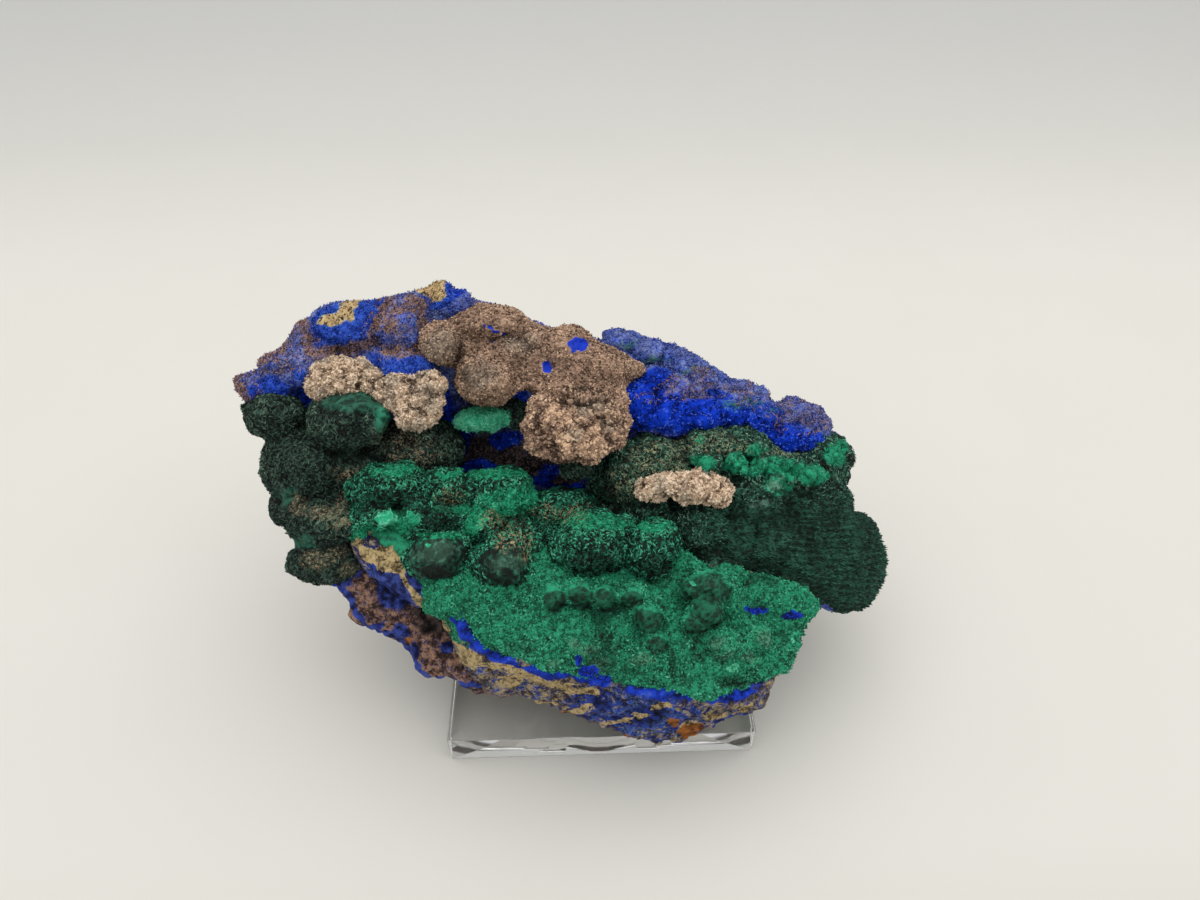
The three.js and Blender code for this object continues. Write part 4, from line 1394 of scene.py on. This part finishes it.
def peg(low, high, sunk, round_over=1.5, around=64):
    """A round rod: circles stacked up, drawn in at the top by a quarter round."""
    radius = (high[0] - low[0]) / 2
    centre = (low[:2] + high[:2]) / 2
    turn = np.linspace(0, np.pi / 2, 7)
    levels = [(radius, low[2] - sunk), (radius, (low[2] + high[2]) / 2)]
    levels += [(radius - round_over * (1 - np.cos(t)), high[2] - round_over * (1 - np.sin(t))) for t in turn]
    angle = np.linspace(0, 2 * np.pi, around, endpoint=False)
    circle = np.stack([np.cos(angle), np.sin(angle)], axis=1)
    rings = np.array([np.column_stack([centre + r * circle, np.full(around, z)]) for r, z in levels])
    return outward(skin(np.array([*centre, low[2] - sunk]), rings, np.array([*centre, high[2]])))


def node_box(node):
    """A node's lowest and highest corners, in millimetres."""
    return [np.array(corner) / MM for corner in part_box(node)]


block = rounded_block(*node_box("stand_base"), EDGE)
stand = show("clear_stand", new_mesh("clear_stand", *block, smooth=False))
for node in PEG_NODES:
    cutter = show(node + "_rod", new_mesh(node, *peg(*node_box(node), PEG_SUNK), smooth=False))
    join = stand.modifiers.new(node, "BOOLEAN")
    join.operation = "UNION"
    join.solver = "EXACT"
    join.object = cutter
    applied(stand)
    bpy.data.objects.remove(cutter)
stand.data.set_sharp_from_angle(angle=SHARP_ANGLE)
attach(stand, "root")
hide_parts("stand_base", *PEG_NODES)
print("clear stand:", len(stand.data.polygons), "faces")

# %% [markdown]
# ## Writing materials as expressions
#
# A node tree is hard to read as a list of links. Here each output socket is wrapped in a small class, so
# that `a * 2 + b` adds the Math nodes that it needs. Colours go through Mix nodes, because a Math node
# would turn them grey. Every other node comes from one method.


# %% Shader helpers
class Wire:
    """An output socket, with sums on it written as Python expressions."""

    def __init__(self, paint, socket):
        self.paint, self.socket = paint, socket

    def math(self, operation, *values, clamp=False):
        settings = {"operation": operation, "use_clamp": clamp}
        return self.paint.node("ShaderNodeMath", settings, dict(enumerate(values)))

    def __add__(self, other):
        return self.math("ADD", self, other)

    def __sub__(self, other):
        return self.math("SUBTRACT", self, other)

    def __rsub__(self, other):
        return self.math("SUBTRACT", other, self)

    def __mul__(self, other):
        return self.math("MULTIPLY", self, other)

    def most(self, other):
        return self.math("MAXIMUM", self, other)


class Paint:
    """A material under construction."""

    def __init__(self, name):
        self.material = bpy.data.materials.new(name)
        self.material.use_nodes = True
        self.tree = self.material.node_tree
        self.tree.nodes.clear()
        self.place = self.node("ShaderNodeTexCoord", output="Object")

    def node(self, kind, settings=None, inputs=None, output=0):
        """Any node: its settings first, then its inputs' values or wires, then the named output as a wire."""
        node = self.tree.nodes.new(kind)
        for key, value in (settings or {}).items():
            if key == "stops":
                ramp = node.color_ramp
                while len(ramp.elements) < len(value):
                    ramp.elements.new(1)
                for element, (position, colour) in zip(ramp.elements, value):
                    element.position, element.color = position, colour
            else:
                setattr(node, key, value)
        for key, value in (inputs or {}).items():
            if isinstance(value, Wire):
                self.tree.links.new(value.socket, node.inputs[key])
            else:
                node.inputs[key].default_value = value
        return Wire(self, node.outputs[output])

    def stored(self, name):
        """A number kept on the mesh."""
        return self.node("ShaderNodeAttribute", {"attribute_name": name}, output="Fac")

    def noise(self, size, detail=2.0, roughness=0.5, distortion=0.0):
        """Noise from 0 to 1 with features of that size in millimetres."""
        inputs = {
            "Vector": self.place,
            "Scale": 1 / (size * MM),
            "Detail": detail,
            "Roughness": roughness,
            "Distortion": distortion,
        }
        return self.node("ShaderNodeTexNoise", {}, inputs)

    def grains(self, size):
        """Distance from the middle of each grain of that size in millimetres."""
        inputs = {"Vector": self.place, "Scale": 1 / (size * MM)}
        return self.node("ShaderNodeTexVoronoi", {}, inputs, output="Distance")

    def grain_tone(self, size):
        """One random number for each grain of that size."""
        inputs = {"Vector": self.place, "Scale": 1 / (size * MM)}
        colour = self.node("ShaderNodeTexVoronoi", {}, inputs, output="Color")
        return self.node("ShaderNodeSeparateColor", {}, {0: colour})

    def step(self, value, low, high):
        """0 below low, 1 above high, and a smooth rise between."""
        inputs = {"Value": value, "From Min": low, "From Max": high}
        return self.node("ShaderNodeMapRange", {"interpolation_type": "SMOOTHSTEP"}, inputs)

    def mix(self, first, second, factor):
        """From the first colour to the second."""
        inputs = {0: factor, 6: first, 7: second}
        return self.node("ShaderNodeMix", {"data_type": "RGBA"}, inputs, output=2)

    def over(self, colour, top, depth, low, high, share=1.0):
        """The colour with another on top, from none of it where depth is low to that share of it where it
        is high."""
        cover = self.step(depth, low, high)
        return self.mix(colour, top, cover if share == 1.0 else cover * share)

    def bump(self, height, distance, strength=1.0):
        """A normal from a height, with distance in millimetres."""
        inputs = {"Height": height, "Distance": distance * MM, "Strength": strength}
        return self.node("ShaderNodeBump", {}, inputs)

    def finish(self, **inputs):
        """The surface, from the main shader's inputs."""
        named = {key.replace("_", " "): value for key, value in inputs.items()}
        surface = self.node("ShaderNodeBsdfPrincipled", {}, named)
        out = self.tree.nodes.new("ShaderNodeOutputMaterial")
        self.tree.links.new(surface.socket, out.inputs["Surface"])
        return self.material


def ink(text):
    """A colour from its six-figure code, as linear light with full alpha."""
    parts = [int(text[k : k + 2], 16) / 255 for k in (0, 2, 4)]
    return (*[p / 12.92 if p <= 0.04045 else ((p + 0.055) / 1.055) ** 2.4 for p in parts], 1.0)


def give(material, *pieces):
    """The pieces wear the material."""
    for piece in pieces:
        piece.data.materials.clear()
        piece.data.materials.append(material)
    print(material.name, "has", len(material.node_tree.nodes), "nodes")


print("a mid grey is", round(ink("808080")[0], 3), "in linear light")

# %% [markdown]
# ## Blue: azurite
#
# Azurite this fine is a velvet of needle crystals, so it has almost no shine and its blue is very deep.
# Where the needles thin out, brown matrix shows through as fine streaks. The masks that are stored on the
# mesh say roughly where that is, and shader noise gives them their ragged edges.

# %% Azurite material
BLUE_DEEP, BLUE_VIVID, BLUE_HIGHLIGHT, BLUE_PALE = ink("040F44"), ink("0D3ED2"), ink("6C92FA"), ink("4A94CC")
BLOOM_DEEP, BLOOM_LIGHT = ink("1C3284"), ink("4A74DC")
DUST_DEEP, DUST_LIGHT = ink("343E74"), ink("8C98C2")
BROWN_DARK, BROWN_WARM, BROWN_PINK, OCHRE_PALE = ink("2A201E"), ink("6E5446"), ink("BC9478"), ink("D6BC8C")
MATRIX_GREY = ink("5E5248")


def velvet_blue(paint):
    """Azurite's blue, deep between needles and vivid on their ends, with painted highlights and crease shade.
    """
    nap = paint.noise(0.55, detail=3, roughness=0.65)
    patch = paint.noise(5, detail=2)
    high = paint.stored("grain") * 0.75 + (nap - 0.5) * 0.9 + (patch - 0.5) * 0.5
    # Painted light and shade: raised places are lighter and creases darker.
    high = high + paint.stored("crown") * 0.3 + 0.1
    blue = paint.over(BLUE_DEEP, BLUE_VIVID, high, 0.1, 0.8)
    # The lightest blue is a painted highlight on the highest tips.
    return paint.over(blue, BLUE_HIGHLIGHT, high, 0.75, 1.3, 0.7), nap


def azurite_material():
    """Velvet blue with bloom, dust, brown flecks, painted hollow shade, green leaf and ochre laid over it in
    turn.
    """
    paint = Paint("azurite_velvet")
    velvet, nap = velvet_blue(paint)
    broad = paint.noise(4, detail=4, roughness=0.6)
    streak = paint.noise(0.9, detail=4, roughness=0.75, distortion=2.0)
    ragged = (broad - 0.5) * 0.9 + (streak - 0.5) * 0.8
    crown = paint.stored("crown")
    # Raised places are a little lighter here: painted light.
    tip = (streak - 0.5) * 1.6 + paint.stored("grain") * 0.4 + crown * 0.1 + 0.35
    light = paint.over(BLOOM_DEEP, BLOOM_LIGHT, tip + (streak - 0.5) * 0.6, 0.35, 0.95)
    velvet = paint.mix(velvet, light, paint.stored("bloom") * 0.7)
    dust = paint.over(DUST_DEEP, DUST_LIGHT, tip, 0.3, 0.85)
    dusty = paint.over(velvet, dust, streak + (broad - 0.5) * 0.6, 0.3, 0.6, 0.8)
    brown = paint.over(BROWN_DARK, BROWN_WARM, tip, 0.25, 0.55)
    brown = paint.over(brown, BROWN_PINK, tip, 0.5, 0.8)
    thin = paint.step(paint.stored("dusty") + ragged * 1.2, -0.6, 0.5)
    line = paint.step(paint.stored("brown") + ragged, -0.1, 0.7)
    fleck = paint.noise(0.8, detail=3, roughness=0.7, distortion=1.5) + (broad - 0.5) * 0.4 + line * 0.12
    fleck = paint.step(fleck, 0.5, 0.62)
    colour = paint.mix(dusty, brown, fleck * thin.most(line) * 0.9)
    # The hollow: partly the dark brown matrix there, and partly painted shade.
    cave = paint.over(ink("1E1B22"), ink("7A6862"), tip, 0.4, 0.95)
    colour = paint.over(colour, cave, paint.stored("cave") + ragged * 0.8, -0.1, 0.3)
    colour = paint.over(colour, velvet, paint.stored("vivid") + ragged * 0.55 - line * 0.4, -0.1, 0.15)
    leaf = paint.stored("green") + (streak - 0.5) * 5 - 0.7
    green = paint.mix(ink("1E5A44"), ink("5A9A60"), tip)
    colour = paint.over(colour, green, leaf, 0.0, 0.15, 0.8)
    pits = paint.step(paint.noise(1.1, detail=4, roughness=0.7, distortion=0.8), 0.53, 0.6)
    bare = paint.stored("ochre") + ragged * 1.2 - 0.1
    colour = paint.over(colour, BLUE_PALE, bare, -0.2, 0.0, 0.5)
    ochre = paint.over(ink("9C8052"), OCHRE_PALE, tip, 0.2, 0.65)
    colour = paint.over(colour, paint.mix(ochre, BROWN_DARK, pits), bare, -0.04, 0.06)
    veined = paint.step(broad + (streak - 0.5) * 0.6, 0.48, 0.72)
    matrix = paint.over(MATRIX_GREY, paint.mix(BROWN_WARM, BLUE_DEEP, veined), streak, 0.3, 0.7)
    colour = paint.mix(colour, matrix, paint.stored("hidden"))
    bump = paint.bump(nap * 0.7 + streak * 0.5, 0.35, 0.8)
    return paint.finish(Base_Color=colour, Roughness=0.9, Normal=bump, Specular_IOR_Level=0.12)


def needle_material():
    """Thin needles of brown matrix that lie over the blue."""
    paint = Paint("brown_needles")
    tone = paint.stored("grain") + (paint.noise(3) - 0.5) * 0.8
    colour = paint.over(paint.mix(BROWN_DARK, BROWN_WARM, 0.6), BROWN_PINK, tone, 0.1, 0.7)
    return paint.finish(Base_Color=colour, Roughness=0.9, Specular_IOR_Level=0.15)


give(azurite_material(), wall, azurite_nap)
give(needle_material(), brown_needles)

# %% [markdown]
# ## Green: malachite
#
# Malachite is nearly black where the light sinks between its fibres and bright on their ends, so its green
# goes by the grain that was stored for each place and each fibre. Where the fibres end together in a smooth
# skin it is lighter and even. In some places grains of tan matrix are caught between them.

# %% Malachite material
GREEN_BLACK, GREEN_MINT = ink("060F0C"), ink("7CE6BC")


def malachite_material(name, deep, mid, light, bright, pale, sand):
    """Green by its grain, from deep to light, each kind of mark laid over it in turn, and painted crease
    shade.
    """
    paint = Paint(name)
    fibre = paint.noise(0.4, detail=3, roughness=0.7, distortion=0.6)
    tuft = paint.noise(1.5, detail=3, roughness=0.6)
    broad = paint.noise(6, detail=3)
    ragged = (tuft - 0.5) * 0.9 + (broad - 0.5) * 0.9
    crown = paint.stored("crown")
    # Raised places are a little lighter here: painted light.
    tip = paint.stored("grain") + (fibre - 0.5) * 1.2 + (tuft - 0.5) * 0.6 + crown * 0.15 - 0.05
    tip = tip + (0.55 - tip) * paint.stored("calm") * 0.55
    colour = paint.over(GREEN_BLACK, deep, tip, 0.0, 0.35)
    colour = paint.over(colour, mid, tip, 0.3, 0.7)
    colour = paint.over(colour, light, tip, 0.7, 1.15)
    # Where marks are bright: a lighter even skin, and on the back balls a painted highlight along their rims.
    skin = paint.over(paint.mix(GREEN_BLACK, bright, 0.3), bright, tip, 0.0, 0.6)
    skin = paint.over(skin, GREEN_MINT, tip, 0.85, 1.3, 0.5)
    colour = paint.over(colour, skin, paint.stored("bright") + ragged, -0.15, 0.3)
    # Pale marks: paler green, and on some balls' tops a painted highlight.
    dusty = paint.over(paint.mix(GREEN_BLACK, pale, 0.3), pale, tip, 0.0, 0.8)
    colour = paint.over(colour, dusty, paint.stored("pale") + ragged, -0.1, 0.6, 0.8)
    # Dark marks: a darker tone on the left growth, and painted shade in creases, clefts and under balls
    # elsewhere.
    dark = paint.over(GREEN_BLACK, paint.mix(deep, mid, 0.4), tip, 0.2, 0.9)
    colour = paint.over(colour, dark, paint.stored("dark") + ragged * 0.7, -0.1, 0.6, 0.85)
    # Creases are darkened here: painted shade.
    colour = paint.over(colour, GREEN_BLACK, (tuft - 0.5) * 0.4 - crown, 0.1, 0.9, 0.6)
    # Low places of the swell are darkened here: painted shade.
    colour = paint.over(colour, GREEN_BLACK, paint.stored("relief") + (tuft - 0.5) * 0.3, 0.4, 0.05, 0.5)
    caught = paint.step(paint.stored("tan") + ragged * 0.8, -0.2, 0.5)
    speck = paint.step(paint.noise(0.7, detail=2, roughness=0.6, distortion=1.0), 0.53, 0.6)
    colour = paint.mix(colour, sand, caught * speck * 0.85)
    mint = paint.over(GREEN_MINT, bright, tip, 0.9, 0.2)
    colour = paint.over(colour, mint, paint.stored("mint") + (tuft - 0.5) * 0.5, 0.0, 0.1)
    vein = paint.stored("blue") + (tuft - 0.5) * 0.8
    blue = paint.over(BLUE_DEEP, BLUE_VIVID, tip, 0.0, 0.7)
    colour = paint.over(colour, blue, vein, 0.0, 0.1)
    bump = paint.bump(fibre, 0.35, 0.8)
    gloss = paint.step(paint.grain_tone(0.7), 0.93, 0.97) * -0.4 + 0.7
    return paint.finish(Base_Color=colour, Roughness=gloss, Normal=bump, Specular_IOR_Level=0.3)


DARK_GREENS = [ink(code) for code in ("182F25", "44695A", "A4C0A4", "3CC096", "B4BC98", "C2AC8A")]
MOSS_GREENS = [ink(code) for code in ("10281E", "2C6450", "88B89E", "22A87C", "8AC2A8", "B4B088")]
BALL_GREENS = [ink(code) for code in ("0A2C20", "1C7458", "5CCCA0", "20AA7A", "62A084", "C2AE84")]
CARPET_GREENS = [ink(code) for code in ("0C4630", "228A64", "70DCB0", "2AA478", "5EA080", "C2AE84")]
give(malachite_material("malachite_dark", *DARK_GREENS), malachite_left, left_fibres)
give(malachite_material("malachite_moss", *MOSS_GREENS), malachite_right, right_fibres)
give(malachite_material("malachite_balls", *BALL_GREENS), malachite_balls, ball_fibres)
give(malachite_material("malachite_carpet", *CARPET_GREENS), malachite_carpet, carpet_grains)

# %% [markdown]
# ## The broken face
#
# A fresh break shows the rock's inside: streaks of blue, tan and brown in layers along the shelf. The same
# material serves the thin plate underneath, where the brown is darker.

# %% Broken rock material
LAYER_SQUASH = 2.0  # the layers are this much thinner than they are long


def broken_material(name, tan, shade, share, deep_low, deep_high):
    """share is how much of the break is rock and not blue, from 0 to 1. The last two colours are for deep
    places: the blue inside the break, and the painted shade of the plate's hollow."""
    paint = Paint(name)
    turned = {"Vector": paint.place, "Rotation": (FACE_LEAN, 0.2, 0), "Scale": (1, 1, LAYER_SQUASH)}
    lean = paint.node("ShaderNodeMapping", {}, turned)
    inputs = {"Vector": lean, "Scale": 1 / (2.2 * MM), "Detail": 4, "Roughness": 0.65, "Distortion": 0.8}
    layers = paint.node("ShaderNodeTexNoise", {}, inputs)
    fine = paint.noise(0.55, detail=3, roughness=0.7)
    broad = paint.noise(6, detail=3)
    grain = paint.stored("grain")
    ragged = (layers - 0.5) * 1.4 + (fine - 0.5) * 0.7 + (broad - 0.5) * 0.5
    tip = fine * 0.6 + grain * 0.5
    blue = paint.over(ink("10184A"), ink("2C48A4"), tip, 0.3, 0.75)
    blue = paint.over(blue, ink("7C98B8"), fine + (broad - 0.5) * 0.8, 0.5, 0.75, 0.55)
    rock = paint.over(shade, tan, tip + (fine - 0.5) * 0.8 + (layers - 0.5) * 0.3, 0.35, 0.85)
    colour = paint.over(blue, rock, layers + paint.stored("inner") * -0.1 + (share - 0.5), 0.44, 0.56)
    fleck = paint.step(paint.noise(0.9, detail=3, roughness=0.7, distortion=1.0), 0.53, 0.62)
    colour = paint.mix(colour, paint.mix(blue, shade, 0.4), fleck * 0.7)
    deep = paint.step(paint.stored("inner") + ragged * 0.5, 0.0, 0.6)
    colour = paint.mix(colour, paint.over(deep_low, deep_high, tip, 0.35, 0.8), deep)
    sand = paint.over(ink("4E4028"), ink("CCB482"), tip + (fine - 0.5) * 0.6, 0.25, 0.7)
    sand = paint.mix(sand, shade, fleck * 0.6)
    pale = paint.stored("ochre") + ragged - 0.08
    colour = paint.over(colour, sand, pale, -0.02, 0.12)
    rust = paint.over(ink("5A3218"), ink("A8682E"), tip, 0.3, 0.7)
    colour = paint.over(colour, rust, paint.stored("orange") + ragged * 0.7, 0.0, 0.2)
    velvet, _ = velvet_blue(paint)
    dull = paint.over(ink("0E1230"), ink("4858A0"), tip, 0.3, 0.8)
    velvet = paint.mix(velvet, dull, paint.stored("dust"))
    seen = paint.step(pale, 0.1, -0.02)
    rim = paint.step(paint.stored("vivid") + ragged * 0.6, 0.05, 0.25)
    colour = paint.mix(colour, velvet, rim * seen)
    matrix = paint.mix(MATRIX_GREY, BROWN_WARM, broad)
    colour = paint.mix(colour, matrix, paint.stored("hidden") * 0.8)
    bump = paint.bump(layers + fine * 0.6, 0.5, 0.9)
    return paint.finish(Base_Color=colour, Roughness=0.85, Normal=bump, Specular_IOR_Level=0.2)


BREAK_TONES = [ink("B8A47C"), ink("3A3230"), 0.4, ink("080A20"), ink("24388A")]
# On the plate the two deep colours paint its hollow near black, as shade.
PLATE_TONES = [ink("AC866E"), ink("3A2A26"), 0.9, ink("0C0A0E"), ink("544844")]
give(broken_material("broken_matrix", *BREAK_TONES), shelf_matrix)
give(broken_material("brown_matrix", *PLATE_TONES), underplate)

# %% [markdown]
# ## The crust
#
# Each tiny crystal of the crust catches the light at its own angle. A random tone for each crystal gives
# that, with the real facets that are already in the mesh, and a few of them are clear and glossy.


# %% Crust material
def crust_material(name, low, mid, high, lift):
    """Three tones from dark to light, and lift brings more of the crystals into the light one. Raised
    places are lighter and creases and hollows darker, as painted light and shade.
    """
    paint = Paint(name)
    blotch = paint.noise(4, detail=4, roughness=0.6)
    fine = paint.noise(0.4, detail=3, roughness=0.7)
    coarse = paint.step(paint.stored("coarse"), -0.2, 0.5)
    spread = paint.stored("grain") - 0.5
    crown = paint.stored("crown")
    relief = paint.stored("relief") - 0.55
    level = spread * 0.55 + (fine - 0.5) * 0.9 + (blotch - 0.5) * 0.5 + crown * 0.2 + lift
    # Low places between the lumps are darkened: painted shade.
    level = level + relief * (coarse * 0.7 + 0.2)
    colour = paint.over(low, mid, level, -0.5, 0.1)
    colour = paint.over(colour, high, level, 0.1, 0.65)
    grey = paint.step(paint.stored("grey") + (blotch - 0.5) * 1.2, -0.1, 0.7)
    grey_tone = paint.over(ink("6A6054"), ink("B4A896"), level, -0.4, 0.5)
    colour = paint.mix(colour, grey_tone, grey * 0.6)
    shade = paint.step(paint.stored("shade") + (blotch - 0.5) * 0.8, -0.2, 0.7)
    colour = paint.mix(colour, ink("3A3024"), shade * 0.6)
    # Creases are darkened here: painted shade.
    colour = paint.over(colour, ink("2C241C"), (fine - 0.5) * 0.3 - crown, 0.2, 1.0, 0.6)
    window = paint.stored("window") + (blotch - 0.5) * 0.5
    colour = paint.over(colour, BLUE_VIVID, window, 0.02, 0.12)
    bump = paint.bump(fine * 0.6 - paint.grains(0.5), 0.35, 0.8)
    gloss = paint.step(paint.stored("grain"), 0.8, 0.9) * -0.45 + 0.75
    return paint.finish(Base_Color=colour, Roughness=gloss, Normal=bump, Specular_IOR_Level=0.4)


LARGE_TONES = [ink("4C3A2C"), ink("B0907A"), ink("F6D4B0"), -0.04]
SMALL_TONES = [ink("4E3E32"), ink("C0A488"), ink("FFE8CC"), 0.12]
give(crust_material("crust_sugar", *LARGE_TONES), crust, crust_sugar, low_sugar)
give(crust_material("crust_bright", *SMALL_TONES), small_crusts, small_sugar)

# %% [markdown]
# ## Clear acrylic, card and light
#
# Cast acrylic bends light by an index of 1.49. The sweep is matt warm-white card, painted darker towards
# the front and towards the back and up its wall, as painted shade where the light falls off. The light is one
# large soft panel overhead and a pale room, as in a small light tent.

# %% Stand, floor and lights
acrylic = Paint("clear_acrylic")
clear = {"IOR": 1.49, "Transmission_Weight": 1.0}
give(acrylic.finish(Base_Color=(0.985, 0.99, 0.985, 1), Roughness=0.02, **clear), stand)
card = Paint("warm_card_painted_falloff")
mottle = card.noise(60, detail=3)
card_tone_and_falloff = card.mix(ink("E3E1D9"), ink("E7E5DE"), mottle)
depth = card.node("ShaderNodeSeparateXYZ", {}, {0: card.place}, output="Y")
rise = card.node("ShaderNodeSeparateXYZ", {}, {0: card.place}, output="Z")
# Painted shade: darker towards the front, where the light falls off.
card_tone_and_falloff = card.mix(card_tone_and_falloff, ink("CECBC0"), card.step(depth, -0.05, -0.13))
# Painted shade: darker towards the back and up the wall, where the light falls off.
card_tone_and_falloff = card.mix(card_tone_and_falloff, ink("C3C5C5"), card.step(depth + rise * 0.6, 0.12, 0.7))
give(card.finish(Base_Color=card_tone_and_falloff, Roughness=0.9, Specular_IOR_Level=0.1), floor)


def panel(name, place, aim, width, depth, watts, colour):
    """A soft rectangular light that faces its aim."""
    light = bpy.data.lights.new(name, "AREA")
    light.shape = "RECTANGLE"
    light.size, light.size_y = width, depth
    light.energy = watts
    light.color = colour
    lamp = bpy.data.objects.new(name, light)
    lamp.location = place
    away = np.array(place) - np.array(aim)
    tilt = math.atan2(math.hypot(away[0], away[1]), away[2])
    lamp.rotation_euler = (tilt, 0, math.atan2(away[0], -away[1]))
    scene.collection.objects.link(lamp)


WARM = (1.0, 0.98, 0.94)
panel("overhead", (0.02, 0.14, 0.82), (0.02, 0.1, 0.05), width=1.7, depth=1.1, watts=6.2, colour=WARM)
world = bpy.data.worlds.new("room")
world.use_nodes = True
room = world.node_tree.nodes["Background"].inputs
room["Color"].default_value = (0.97, 0.975, 1.0, 1)
room["Strength"].default_value = 0.62
scene.world = world
